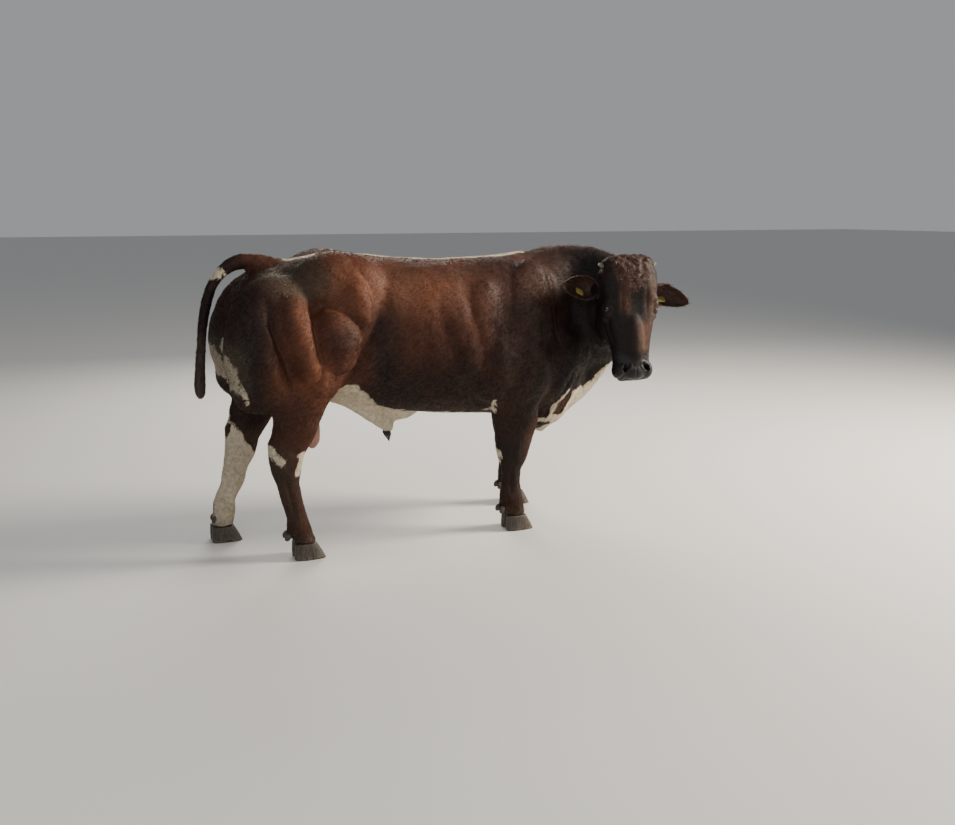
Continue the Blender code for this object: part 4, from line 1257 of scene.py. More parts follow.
@dataclass(frozen=True)
class Relief:
    """Muscle grooves, skin folds and the forms of the face, as heights over the hide."""

    thigh: tuple = (
        Fold(((-0.600, 1.210), (-0.590, 1.102), (-0.560, 1.014), (-0.532, 0.948), (-0.514, 0.885),
              (-0.490, 0.830)), 0.018, 0.017),
        Fold(((-0.402, 1.220), (-0.406, 1.090), (-0.394, 1.000), (-0.378, 0.910)), 0.014, 0.016),
        Fold(((-0.372, 0.930), (-0.390, 0.868), (-0.432, 0.824), (-0.490, 0.780)), 0.015, 0.012),
        Fold(((-0.400, 1.150), (-0.357, 1.192), (-0.303, 1.180), (-0.242, 1.145), (-0.200, 1.092),
              (-0.192, 1.046), (-0.212, 0.985), (-0.268, 0.935), (-0.350, 0.905)), 0.014, 0.013),
        Fold(((-0.201, 1.370), (-0.133, 1.280), (-0.104, 1.202), (-0.110, 1.089), (-0.150, 1.005),
              (-0.235, 0.925), (-0.330, 0.840)), 0.026, 0.018),
        Fold(((-0.505, 1.230), (-0.500, 1.130), (-0.480, 1.050), (-0.458, 0.980), (-0.442, 0.910),
              (-0.462, 0.848)), 0.048, -0.015),
        Fold(((-0.650, 0.995), (-0.606, 0.912), (-0.562, 0.838), (-0.548, 0.774)), 0.034, -0.013),
        Fold(((-0.360, 1.130), (-0.318, 1.060), (-0.310, 0.985)), 0.050, -0.010),
        Fold(((-0.230, 1.280), (-0.160, 1.190), (-0.160, 1.080)), 0.030, -0.006),
    )
    barrel: tuple = (
        Fold(((0.180, 1.210), (0.214, 1.080), (0.258, 0.961), (0.318, 0.839), (0.400, 0.715)),
             0.034, 0.004),
        Fold(((0.333, 1.250), (0.364, 1.096), (0.405, 0.952), (0.436, 0.805), (0.470, 0.690)),
             0.030, 0.007),
        Fold(((0.580, 1.345), (0.582, 1.249), (0.583, 1.129), (0.574, 1.000)), 0.050, -0.010),
        Fold(((0.540, 1.060), (0.560, 0.960), (0.640, 0.880), (0.720, 0.850)), 0.034, 0.004),
        Fold(((0.500, 0.760), (0.560, 0.690), (0.640, 0.665), (0.720, 0.680)), 0.018, 0.006),
        Fold(((-0.225, 0.710), (-0.150, 0.660), (-0.080, 0.612), (-0.015, 0.590)), 0.012, 0.009,
             inner=0.0),
    )
    collar: tuple = (
        Fold(((0.762, 1.390), (0.776, 1.262), (0.798, 1.148), (0.820, 1.052), (0.850, 0.920)),
             0.010, 0.007),
        Fold(((0.810, 1.350), (0.828, 1.230), (0.845, 1.100), (0.860, 0.960)), 0.012, 0.003),
    )
    brisket: tuple = (
        Fold(((1.020, 0.800), (0.965, 0.690), (0.905, 0.600), (0.850, 0.530)), 0.011, 0.010,
             inner=0.005),
        Fold(((1.080, 0.850), (1.020, 0.720), (0.950, 0.620), (0.890, 0.545)), 0.010, 0.008,
             inner=0.005),
        Fold(((0.950, 0.840), (0.900, 0.720), (0.860, 0.620), (0.810, 0.540)), 0.011, 0.008,
             inner=0.005),
    )

    def legs(self, places: np.ndarray) -> np.ndarray:
        """Tendons, the flat of the shins and the bulges of knees and hocks.

        Args:
            places: Places of the own frame.

        Returns:
            Grooves beside the tendons of the four shanks and small swells at the joints.
        """
        x, y, z = places.T
        total = np.zeros(len(places))
        shanks = (((-0.532, 0.44), (-0.486, 0.20), Side.RIGHT),
                  ((-0.662, 0.44), (-0.762, 0.20), Side.LEFT),
                  ((0.611, 0.33), (0.608, 0.18), Side.RIGHT),
                  ((0.777, 0.33), (0.775, 0.18), Side.LEFT))
        for start, end, side in shanks:
            gap, part = along_path(np.stack([x, z], axis=1), (start, end))
            lie = x - np.interp(z, (end[1], start[1]), (end[0], start[0]))
            here = ease(0.09, 0.07, gap) * ease(0.0, 0.15, y * side.value - 0.02)
            here = here * ease(0.0, 0.2, part) * ease(1.0, 0.8, part)
            total -= 0.0055 * hump(lie + 0.014, 0.010) * here
            total += 0.0020 * hump(lie - 0.012, 0.016) * here
        return total

    def neck_wrinkles(self, places: np.ndarray) -> np.ndarray:
        """Soft upright wrinkles where the neck bends to the near side.

        Args:
            places: Places of the own frame.

        Returns:
            The height at each.
        """
        x, y, z = places.T
        turn = np.arctan2(x - 0.86, -(y - 0.05) + 0.001)
        wave = np.sin(turn * 19.0 + 2.5 * ripple(places, 0.35, 21))
        here = (ease(0.85, 0.98, x) * ease(0.02, -0.08, y) * ease(0.72, 0.86, z)
                * ease(1.40, 1.22, z))
        return 0.0022 * wave * here * (1.0 - HEAD.near(places))

    def face(self, places: np.ndarray) -> np.ndarray:
        """Brow, cheek, tear groove, nostrils, lips and the wrinkles of the face.

        Args:
            places: Places of the own frame.

        Returns:
            The sum of the single heights, nothing off the head.
        """
        local = HEAD.local(places)
        side, out, down = local.T
        reach = np.abs(side)
        total = np.zeros(len(places))
        # The forehead is dished between the brows, and ridged above the eyes.
        front = ease(0.02, 0.05, out)
        total -= 0.0060 * hump(side, 0.050) * hump(down + 0.020, 0.070) * front
        total += 0.0050 * hump(reach - 0.088, 0.020) * hump(down + 0.045, 0.026)
        total -= 0.0035 * hump(reach - 0.062, 0.010) * hump(down + 0.020, 0.060) * front
        # Bridge of the nose, cheek bone and the groove under it.
        total += (0.0045 * hump(side, 0.030) * ease(0.02, 0.08, down) * ease(0.26, 0.20, down)
                  * front)
        crest, part = along_path(local[:, [1, 2]],
                                 ((0.000, 0.045), (-0.006, 0.110), (0.004, 0.165)))
        total += 0.0048 * hump(crest, 0.011) * ease(0.05, 0.07, reach) * ease(1.0, 0.7, part)
        total -= (0.0040 * hump(crest - 0.024, 0.012) * ease(0.05, 0.07, reach)
                  * ease(0.20, 0.12, down))
        tear, part = along_path(np.stack([reach, down], axis=1),
                                ((0.098, 0.026), (0.086, 0.062), (0.078, 0.100)))
        total -= 0.0030 * hump(tear, 0.006) * ease(1.0, 0.3, part) * ease(0.0, 0.03, out)
        # The jaw's edge and the flat of the chewing muscle.
        jaw = gap_to(local[:, [1, 2]],
                     ((-0.150, -0.010), (-0.150, 0.080), (-0.105, 0.150), (-0.072, 0.210)))
        total -= 0.0040 * hump(jaw - 0.030, 0.014) * ease(0.03, 0.05, reach)
        # Nostrils: a comma-shaped pit with a raised outer rim.
        pit = gap_to(np.stack([reach, out, down], axis=1), (
            (0.040, 0.066, 0.260), (0.049, 0.059, 0.268), (0.058, 0.046, 0.281),
            (0.063, 0.032, 0.288)))
        total -= 0.016 * hump(pit, 0.0075)
        total += 0.0045 * hump(pit - 0.016, 0.0055)
        # Lips meet on a line from the corner of the mouth; wrinkles run over the upper lip.
        lip = out + 0.030 - (down - 0.232) * 0.42
        inside = ease(0.222, 0.238, down)
        total -= 0.0065 * hump(lip, 0.0042) * inside
        total += 0.0025 * hump(lip - 0.011, 0.006) * inside
        total += 0.0020 * hump(lip + 0.011, 0.006) * inside
        split = ease(0.262, 0.275, down) * ease(0.335, 0.320, down) * front
        total -= 0.0030 * hump(side, 0.0035) * split
        wrinkle = np.sin(down * 420.0 + 3.0 * ripple(places, 0.06, 31))
        lip_side = ease(0.185, 0.215, down) * ease(0.275, 0.250, down) * ease(0.03, 0.05, reach)
        total += 0.0008 * wrinkle * lip_side
        # Folds round the eye.
        for which in Side:
            centre, look = HEAD.eye_centre(which), HEAD.eye_look(which)
            off = local - centre
            ring = np.linalg.norm(off - (off @ look)[:, None] * look, axis=1)
            near = ease(0.0, 0.01, off @ look)
            total += 0.0030 * hump(ring - 0.027, 0.0055) * near
            total -= 0.0022 * hump(ring - 0.038, 0.0050) * near
            total += 0.0016 * hump(ring - 0.046, 0.0045) * near
        return total * HEAD.near(places)

    def height(self, places: np.ndarray) -> np.ndarray:
        """The whole relief over the hide at places of the own frame.

        Args:
            places: Places of the own frame.

        Returns:
            The height at each.
        """
        total = np.zeros(len(places))
        for fold in self.thigh + self.barrel + self.collar + self.brisket:
            total += fold.height(places)
        total += self.legs(places) + self.neck_wrinkles(places) + self.face(places)
        calm = 1.0 - HEAD.near(places)
        total += 0.0016 * ripple(places, 0.20, 41) * calm + 0.0007 * ripple(places, 0.06, 42) * calm
        return total


# The hide.


@dataclass
class Hide:
    """The one skin over all solids of flesh."""

    rounds: int = 46
    relief: Relief = field(default_factory=Relief)

    @staticmethod
    def tail_core() -> Sheet:
        """A form beyond the solids of flesh: the last stretch of the tail under its long hair.

        Returns:
            The sheet.
        """
        count = 24
        dock = smooth_path(((-0.838, 0.0, 1.085), *TAIL_END), count)
        radii = np.interp(np.linspace(0, 1, count), (0.0, 0.25, 0.6, 0.85, 1.0),
                          (0.0230, 0.0225, 0.0205, 0.0165, 0.0080))
        return tube_sheet(dock, radii, 18, 0.92)

    def gathered(self) -> bpy.types.Object:
        """The flesh nodes, each a little fuller, and the core of the tail as one object.

        Returns:
            The object.
        """
        whole = bmesh.new()
        for name in FLESH:
            mesh = merged_mesh([name])
            write_places(mesh, read_places(mesh) + OVERLAP * read_places(mesh, "normal"))
            whole.from_mesh(mesh)
            bpy.data.meshes.remove(mesh)
        core = self.tail_core().mesh("tail_core")
        whole.from_mesh(core)
        bpy.data.meshes.remove(core)
        mesh = bpy.data.meshes.new("gathered")
        whole.to_mesh(mesh)
        whole.free()
        return linked("gathered", mesh)

    @staticmethod
    def largest(mesh: bpy.types.Mesh) -> None:
        """Drops all but the mesh's largest connected part.

        Args:
            mesh: The mesh, changed in place.
        """
        edges = read_edges(mesh)
        label = np.arange(len(mesh.vertices))
        while True:
            low = np.minimum(label[edges[:, 0]], label[edges[:, 1]])
            fresh = label.copy()
            np.minimum.at(fresh, edges[:, 0], low)
            np.minimum.at(fresh, edges[:, 1], low)
            fresh = fresh[fresh]
            if np.array_equal(fresh, label):
                break
            label = fresh
        names, counts = np.unique(label, return_counts=True)
        drop = label != names[np.argmax(counts)]
        if drop.any():
            work = bmesh.new()
            work.from_mesh(mesh)
            work.verts.ensure_lookup_table()
            loose = [work.verts[number] for number in np.flatnonzero(drop)]
            bmesh.ops.delete(work, geom=loose, context="VERTS")
            work.to_mesh(mesh)
            work.free()

    def calm(self, places: np.ndarray) -> np.ndarray:
        """How strongly each place is smoothed: little on head, tail and shanks.

        Args:
            places: Places of the own frame.

        Returns:
            A number from 0 to 1 for each place.
        """
        x, y, z = places.T
        head = HEAD.near(places)
        poll = hump(np.linalg.norm(HEAD.local(places) - np.array([0.0, 0.03, -0.19]), axis=1), 0.10)
        tail = ease(-0.60, -0.66, x) * ease(0.06, 0.04, np.abs(y)) * ease(0.70, 0.75, z)
        tail = np.maximum(tail * ease(-0.74, -0.80, x), tail * ease(1.26, 1.31, z))
        shank = ease(0.66, 0.52, z)
        strength = np.minimum(1.0 - 0.72 * shank, 1.0 - 0.90 * tail)
        return np.minimum(strength, 1.0 - 0.90 * head * (1.0 - 0.8 * poll))

    def smoothed(self, mesh: bpy.types.Mesh) -> np.ndarray:
        """Places of the fused mesh's vertices after smoothing, in the own frame."""
        places = read_places(mesh) + ORIGIN
        rounds = self.rounds
        return relaxed(mesh, places, rounds, 0.62 * self.calm(places)[:, None])

    @staticmethod
    def thinned(mesh: bpy.types.Mesh, places: np.ndarray) -> bpy.types.Mesh:
        """Takes faces off a mesh, fewest on the head.

        Args:
            mesh: The mesh.
            places: Its vertices' places in the own frame.

        Returns:
            A mesh of about HIDE_FACES triangles.
        """
        item = linked("hide_rough", mesh)
        group = item.vertex_groups.new(name="coarse")
        coarse = np.clip(1.0 - HEAD.near(places), 0.0, 1.0)
        steps = 4
        for level in range(steps + 1):
            members = np.flatnonzero(np.round(coarse * steps) == level).tolist()
            group.add(members, 0.12 + 0.88 * level / steps, "REPLACE")
        thin = item.modifiers.new("thin", "DECIMATE")
        thin.ratio = min(1.0, HIDE_FACES / (2.0 * len(mesh.polygons)))
        thin.vertex_group = group.name
        thin.vertex_group_factor = 1.0
        return applied(item)

    def build(self, finish: bpy.types.Material) -> bpy.types.Object:
        """Fuses, smooths, carves, thins and dresses the hide.

        Args:
            finish: Its material.

        Returns:
            The hide.
        """
        mesh = fused(self.gathered(), WORK_VOXEL)
        self.largest(mesh)
        places = self.smoothed(mesh)
        write_places(mesh, places - ORIGIN)
        depth = COAT_DEPTH - self.relief.height(places)
        places = places - read_places(mesh, "normal") * depth[:, None]
        write_places(mesh, places - ORIGIN)
        mesh = self.thinned(mesh, places)
        mesh.shade_smooth()
        places = read_places(mesh) + ORIGIN
        head = HEAD.near(places)
        MARKINGS.put(mesh, places)
        set_field(mesh, "lower", np.maximum(ease(0.70, 0.55, places[:, 2]), head))
        LOG.info("hide: %d triangles, %d vertices on the head", len(mesh.polygons),
                 int((head > 0.5).sum()))
        return add_piece("hide", mesh, finish, "coat", *FLESH)


# Solids carried over, rounded.


@dataclass
class Rounded:
    """A hard or thin piece made from its own solids, finer and without facets."""

    name: str
    nodes: tuple
    voxel: float
    rounds: int
    slot: str

    def build(self, finish: bpy.types.Material) -> bpy.types.Object:
        """Makes the piece.

        Args:
            finish: Its material.

        Returns:
            The object, riding the root.
        """
        item = linked("copy", merged_mesh(self.nodes))
        mesh = fused(item, self.voxel * COARSER)
        write_places(mesh, relaxed(mesh, read_places(mesh), self.rounds, 0.5))
        mesh.shade_smooth()
        mesh.name = self.name
        return add_piece(self.name, mesh, finish, self.slot, *self.nodes)


@dataclass
class Hooves:
    """The eight claws, and the dewclaws behind the fetlocks."""

    dewclaws: tuple = ((-0.534, 0.124, Side.RIGHT), (-0.810, 0.124, Side.LEFT),
                       (0.557, 0.120, Side.RIGHT), (0.726, 0.120, Side.LEFT))
    spread: float = 0.025

    def build(self, finish: bpy.types.Material) -> None:
        """Makes the claws from their solids and caps the dewclaws with horn.

        Args:
            finish: The horn's material.
        """
        names = tuple(f"claw_{end}_{side.word}_{place}" for end in ("fore", "hind")
                      for side in Side for place in ("inner", "outer"))
        Rounded("hoof_claws", names, 0.0024, 5, "hoof").build(finish)
        caps = [ball_sheet((x - 0.005, side.value * 0.2 + lie * self.spread, z - 0.009),
                           (0.0145, 0.0125, 0.0205), (0, 30, 0), 14, 18)
                for x, z, side in self.dewclaws for lie in (-1, 1)]
        sheet = caps[0]
        for cap in caps[1:]:
            sheet = sheet.joined(cap)
        add_piece("hoof_dewclaws", sheet.mesh("hoof_dewclaws"), finish, "hoof")


@dataclass
class Ears:
    """The two ears as thin cups, their length in head lengths."""

    voxel: float = 0.0017
    length: float = 0.214

    def opening(self, side: Side) -> np.ndarray:
        """Where the cup of an ear opens, in the own frame."""
        _, way = HEAD.ear_root(side)
        face = np.array([side.value * 0.10, 1.0, 0.30])
        return HEAD.aim(unit(face - way * (face @ way)))

    def build(self, finish: bpy.types.Material) -> list[bpy.types.Object]:
        """Makes both ears and marks their inner faces.

        Args:
            finish: The finish of the ears' skin.

        Returns:
            The two objects.
        """
        made = []
        for side in Side:
            name = f"ear_{side.word}"
            item = Rounded(f"ear_cup_{side.word}", (name,), self.voxel, 7, "coat").build(finish)
            mesh = item.data
            facing = read_places(mesh, "normal") @ self.opening(side)
            root, way = HEAD.ear_root(side)
            along = (HEAD.local(read_places(mesh) + ORIGIN) - root) @ way / self.length
            set_field(mesh, "inner", ease(-0.1, 0.5, facing))
            set_field(mesh, "along", np.clip(along, 0.0, 1.0))
            made.append(item)
        return made


# Eyes and lids.


@dataclass
class Eyes:
    """Eyeballs with lids that roll over them and run out into the hide.

    A row of the margin lies on the ball: how much wider it is than the opening, and how far it is
    off the ball. A row of the skirt lies on the hide: its radius in radii of the ball, the part of
    the way from the margin to the hide, and how far it is off the hide.
    """

    bulge: float = 0.05
    bulge_width: float = 0.55
    half_width: float = 0.90
    upper: float = 0.60
    lower: float = 0.50
    columns: int = 56
    margin: tuple = ((0.94, -0.0006), (0.97, 0.0012), (1.04, 0.0026), (1.20, 0.0038),
                     (1.38, 0.0040))
    skirt: tuple = ((1.22, 0.40, 0.0008), (1.42, 0.75, 0.0002), (1.62, 1.0, -0.0012),
                    (1.85, 1.0, -0.0035))
    ray_start: float = 0.10

    def axes(self, side: Side) -> tuple[np.ndarray, np.ndarray, np.ndarray, np.ndarray]:
        """Middle of the ball, look, way to the nose along the lids, and way up, in the own frame.

        Args:
            side: Which eye.

        Returns:
            The four.
        """
        look = HEAD.eye_look(side)
        front = np.array([0.0, 0.80, 0.46])
        front = unit(front - look * (front @ look))
        high = np.cross(look, front)
        high = high if high[2] < 0 else -high
        return (HEAD.world(HEAD.eye_centre(side)), HEAD.aim(look), HEAD.aim(front), HEAD.aim(high))

    def ball(self, side: Side, finish: bpy.types.Material) -> None:
        """One eyeball: rings round the look, with a low dome over the iris.

        Args:
            side: Which eye.
            finish: Its material.
        """
        centre, look, front, high = self.axes(side)
        rows, columns = 30, 40
        tilt = np.linspace(0.01, math.pi - 0.01, rows)[:, None]
        spin = np.linspace(0.0, 2.0 * math.pi, columns, endpoint=False)[None, :]
        radius = HEAD.eye_radius * (1.0 + self.bulge * hump(tilt, self.bulge_width))
        across = np.sin(tilt) * np.cos(spin)
        rise = np.sin(tilt) * np.sin(spin)
        ahead = np.cos(tilt) + 0.0 * spin
        shape = front * across[..., None] + high * rise[..., None] + look * ahead[..., None]
        places = centre + shape * (radius + 0.0 * spin)[..., None]
        mesh = Sheet.grid(places, around=True).closed(columns).mesh(f"eye_ball_{side.word}")
        behind = 2.0 * (ahead < 0).ravel()
        set_field(mesh, "gaze_across", across.ravel() + behind)
        set_field(mesh, "gaze_high", rise.ravel())
        add_piece(f"eye_ball_{side.word}", mesh, finish, "eye", f"eye_{side.word}")

    def lids(self, side: Side, hide: bpy.types.Object, finish: bpy.types.Material) -> None:
        """The lids of one eye as one ring of skin.

        Args:
            side: Which eye.
            hide: The hide, which the outer rows run under.
            finish: The hide's material.
        """
        centre, look, front, high = self.axes(side)
        radius = HEAD.eye_radius
        spin = np.linspace(0.0, 2.0 * math.pi, self.columns, endpoint=False)
        wide = np.cos(spin)
        tall = np.sign(np.sin(spin)) * np.abs(np.sin(spin)) ** 1.15
        opening = radius * np.where(np.sin(spin) > 0, self.upper, self.lower)
        almond = np.stack([self.half_width * radius * wide, opening * tall], axis=1)
        rows = []
        for widen, lift in self.margin:
            flat = almond * widen
            reach = np.minimum(np.linalg.norm(flat, axis=1), (radius + lift) * 0.995)
            ahead = np.sqrt(np.square(radius + lift) - np.square(reach))
            rows.append((flat, ahead))
        circle = np.stack([np.cos(spin), np.sin(spin)], axis=1) * radius
        last_flat, last_ahead = rows[-1]
        for widen, part, lift in self.skirt:
            flat = last_flat * (1 - part) + circle * widen * part
            ahead = np.empty(len(flat))
            for number, (first, second) in enumerate(flat):
                start = centre + front * first + high * second + look * self.ray_start - ORIGIN
                hit, where, _, _ = hide.ray_cast(Vector(start), Vector(-look))
                base = ((np.array(where) - start) @ look + self.ray_start if hit
                        else last_ahead[number])
                ahead[number] = base + lift
            ahead = (np.maximum(ahead, -0.02) if part == 1.0
                     else ahead * part + last_ahead * (1 - part))
            rows.append((flat, ahead))
        places = np.stack([centre + flat[:, :1] * front + flat[:, 1:] * high + ahead[:, None] * look
                           for flat, ahead in rows])
        mesh = Sheet.grid(places, around=True).mesh(f"lids_{side.word}")
        MARKINGS.put(mesh, places.reshape(-1, 3))
        wet = np.repeat([1.0, 1.0, 0.9, 0.35] + [0.0] * (len(rows) - 4), self.columns)
        set_field(mesh, "nose", wet)
        set_field(mesh, "lower", np.zeros(len(wet)))
        add_piece(f"lids_{side.word}", mesh, finish, "coat")

    def build(self, hide: bpy.types.Object, skin: bpy.types.Material,
              wet: bpy.types.Material) -> None:
        """Builds both eyes with their lids.

        Args:
            hide: The hide.
            skin: Its material.
            wet: That of the eyeballs.
        """
        for side in Side:
            self.ball(side, wet)
            self.lids(side, hide, skin)


# Hair.


@dataclass(frozen=True)
class Chart:
    """A cylinder round one stretch of the animal, unrolled into a cell of the unit square."""

    start: tuple
    end: tuple
    low: tuple
    size: tuple
    reach: float = 1.0


@dataclass(frozen=True)
class SkinMap:
    """An unwrap of the skin: each place goes to the cylinder of the nearest stretch."""

    charts: tuple = (
        Chart((-0.80, 0.0, 1.06), (0.84, 0.0, 1.02), (0.01, 0.01), (0.62, 0.62), 2.6),
        Chart((0.90, 0.0, 1.08), (1.16, -0.10, 1.18), (0.65, 0.01), (0.34, 0.30), 2.0),
        Chart((1.24, -0.28, 1.42), (1.30, -0.34, 0.98), (0.65, 0.33), (0.34, 0.30), 1.2),
        Chart((-0.44, -0.2, 0.74), (-0.46, -0.2, 0.10), (0.01, 0.65), (0.19, 0.34)),
        Chart((-0.56, 0.2, 0.74), (-0.77, 0.2, 0.10), (0.21, 0.65), (0.19, 0.34)),
        Chart((0.62, -0.2, 0.70), (0.63, -0.2, 0.10), (0.41, 0.65), (0.19, 0.34)),
        Chart((0.78, 0.2, 0.70), (0.79, 0.2, 0.10), (0.61, 0.65), (0.19, 0.34)),
        Chart((-0.74, 0.0, 1.32), (-0.86, 0.0, 0.78), (0.81, 0.65), (0.18, 0.16), 0.4),
        Chart((-0.20, 0.0, 0.64), (0.04, 0.0, 0.53), (0.81, 0.83), (0.08, 0.16), 0.5),
        Chart((-0.35, 0.0, 0.70), (-0.35, 0.0, 0.48), (0.90, 0.83), (0.09, 0.16), 0.5),
    )

    def place(self, places: np.ndarray) -> np.ndarray:
        """Unwraps places of the own frame.

        Args:
            places: Places on or near the skin.

        Returns:
            For each, its position along the nearest chart's axis and its turn round it, in its
            cell.
        """
        best = np.full(len(places), np.inf)
        spots = np.zeros((len(places), 2))
        for chart in self.charts:
            start, end = np.array(chart.start), np.array(chart.end)
            way = end - start
            along = (places - start) @ way / (way @ way)
            part = np.clip(along, 0.0, 1.0)
            off = places - start - part[:, None] * way
            gap = np.linalg.norm(off, axis=1) / chart.reach
            side = unit(np.cross(way, (0.03, 1.0, 0.02)))
            rise = unit(np.cross(way, side))
            turn = np.arctan2(off @ side, off @ rise) / (2.0 * math.pi) + 0.5
            spot = np.stack([chart.low[0] + chart.size[0] * part,
                             chart.low[1] + chart.size[1] * turn], axis=1)
            nearer = gap < best
            best = np.where(nearer, gap, best)
            spots = np.where(nearer[:, None], spot, spots)
        return spots


@dataclass
class Roots:
    """Where hair grows: places, the skin's normals there and the way the hair lies."""

    places: np.ndarray
    normals: np.ndarray
    lie: np.ndarray

    @staticmethod
    def scatter(mesh: bpy.types.Mesh, count: int, density: Callable,
                dice: np.random.Generator) -> "Roots":
        """Draws places on a mesh.

        Args:
            mesh: The mesh of the skin.
            count: How many places.
            density: Gives the weight of places of the own frame.
            dice: The random generator.

        Returns:
            The roots, drawn with area times density, their lie still straight down.
        """
        mesh.calc_loop_triangles()
        corners = np.empty(len(mesh.loop_triangles) * 3, np.int32)
        mesh.loop_triangles.foreach_get("vertices", corners)
        corners = corners.reshape(-1, 3)
        places = read_places(mesh) + ORIGIN
        normals = read_places(mesh, "normal")
        spread = places[corners]
        cross = np.cross(spread[:, 1] - spread[:, 0], spread[:, 2] - spread[:, 0])
        weight = np.linalg.norm(cross, axis=1) * density(spread.mean(axis=1))
        total = np.cumsum(weight)
        picked = np.searchsorted(total, dice.random(count) * total[-1])
        picked = np.minimum(picked, len(total) - 1)
        first = np.sqrt(dice.random(count))[:, None]
        second = dice.random(count)[:, None]
        share = np.concatenate([1 - first, first * (1 - second), first * second], axis=1)
        place = (spread[picked] * share[..., None]).sum(axis=1)
        normal = unit((normals[corners[picked]] * share[..., None]).sum(axis=1))
        return Roots(place, normal, np.tile(DOWN, (count, 1)))

    def part(self, keep: np.ndarray) -> "Roots":
        """Only the roots that a mask keeps."""
        return Roots(self.places[keep], self.normals[keep], self.lie[keep])

    def laid(self, ways: np.ndarray, dice: np.random.Generator, stray: float) -> "Roots":
        """Lays the hair along directions, flattened onto the skin.

        Args:
            ways: A direction for each root.
            dice: The random generator.
            stray: How far single tufts stray sideways, as a part of 1.

        Returns:
            The same roots with their lie set.
        """
        ways = ways + stray * dice.normal(size=ways.shape)
        flat = ways - self.normals * (ways * self.normals).sum(axis=1)[:, None]
        return Roots(self.places, self.normals, unit(flat))


def comb(places: np.ndarray) -> np.ndarray:
    """The way the coat lies: back and down over the body, down the legs and down the face.

    Args:
        places: Places of the own frame.

    Returns:
        A direction for each place, not yet flattened onto the skin.
    """
    x, y, z = places.T
    low = ease(0.82, 0.62, z)[:, None]
    body = np.stack([-0.85 - 0.2 * ripple(places, 0.5, 51), 0.15 * np.sign(y) * np.ones_like(x),
                     -0.55 + 0.35 * ripple(places, 0.45, 52)], axis=1)
    leg = np.array([-0.22, 0.0, -1.0])
    ways = body * (1.0 - low) + leg * low
    fore = ease(0.90, 1.05, x)[:, None]
    ways = ways * (1.0 - fore) + unit(places - HEAD.centre) * fore
    local = HEAD.local(places)
    whorl = np.array([0.0, 0.0, -0.035])
    fan = local - whorl
    fan[:, 2] += 0.10 * np.sign(fan[:, 2])
    face = HEAD.aim(unit(fan))
    near = HEAD.near(places)[:, None]
    return unit(ways * (1.0 - near) + face * near)


@dataclass
class Ribbons:
    """Tapered ribbons along middle lines, as arrays."""

    roots: Roots
    lines: np.ndarray
    half: np.ndarray
    across: np.ndarray
    skin_map: SkinMap = field(default_factory=SkinMap)
    patch: float = 0.003

    def piece(self, name: str, finish: bpy.types.Material, dice: np.random.Generator,
              markings: bool = True) -> bpy.types.Object:
        """Makes the ribbons one piece.

        Args:
            name: The piece's name.
            finish: Its material.
            dice: Draws each ribbon's tint.
            markings: Whether it takes the hide's markings.

        Returns:
            The object, each ribbon two corners wide in every row and one at its tip.
        """
        count, rows = self.lines.shape[:2]
        width = 2 * rows - 1
        corners = np.empty((count, width, 3))
        reach = self.across[:, None, :] * self.half[..., None]
        corners[:, 0:-1:2] = (self.lines - reach)[:, :-1]
        corners[:, 1:-1:2] = (self.lines + reach)[:, :-1]
        corners[:, -1] = self.lines[:, -1]
        pattern = []
        for row in range(rows - 2):
            start = 2 * row
            pattern += [(start, start + 1, start + 3), (start, start + 3, start + 2)]
        pattern.append((width - 3, width - 2, width - 1))
        faces = (np.arange(count)[:, None, None] * width + np.array(pattern)[None]).reshape(-1, 3)
        mesh = bpy.data.meshes.new(name)
        mesh.from_pydata(corners.reshape(-1, 3) - ORIGIN, [], faces)
        mesh.shade_smooth()
        along = np.append(np.repeat(np.arange(rows - 1), 2), rows - 1) / (rows - 1)
        edge = np.append(np.tile([0.0, 1.0], rows - 1), 0.5)
        spots = self.skin_map.place(self.roots.places)
        local = np.stack([along - 0.5, edge - 0.5], axis=1) * self.patch
        flat = (spots[:, None, :] + local[None]).reshape(-1, 2)
        layer = mesh.uv_layers.new(name="OFBake")
        order = np.empty(len(mesh.loops), np.int32)
        mesh.loops.foreach_get("vertex_index", order)
        layer.data.foreach_set("uv", np.clip(flat[order], 0.0, 1.0).astype(np.float32).ravel())
        set_field(mesh, "tip", np.tile(along, count))
        set_field(mesh, "tint", np.repeat(dice.random(count), width))
        if markings:
            for field_name, values in MARKINGS.fields(self.roots.places).items():
                set_field(mesh, field_name, np.repeat(values, width))
        LOG.info("%s: %d ribbons, %d triangles", name, count, len(faces))
        return add_piece(name, mesh, finish, "coat")


def flat_ribbons(roots: Roots, length: np.ndarray, wide: np.ndarray, rise: np.ndarray,
                 dice: np.random.Generator) -> Ribbons:
    """Short ribbons that leave the skin at a slant and bend down to lie along it.

    Args:
        roots: Where they grow.
        length: The length of each.
        wide: The width of each.
        rise: How high its middle stands, as a part of its length.
        dice: The random generator.

    Returns:
        The ribbons, of three rows: sunk root, raised middle, lower tip.
    """
    count = len(length)
    part = np.array([0.0, 0.5, 1.0])
    tip = length * rise * dice.uniform(0.4, 1.0, count)
    lift = np.stack([np.full(count, -0.0006), length * rise, tip], axis=1)
    lines = (roots.places[:, None, :] + roots.lie[:, None, :] * (length[:, None] * part)[..., None]
             + roots.normals[:, None, :] * lift[..., None])
    across = np.cross(roots.normals, roots.lie) + roots.normals * dice.normal(0.0, 0.35, (count, 1))
    half = 0.5 * wide[:, None] * np.array([0.75, 1.0, 0.0])
    return Ribbons(roots, lines, half, unit(across))


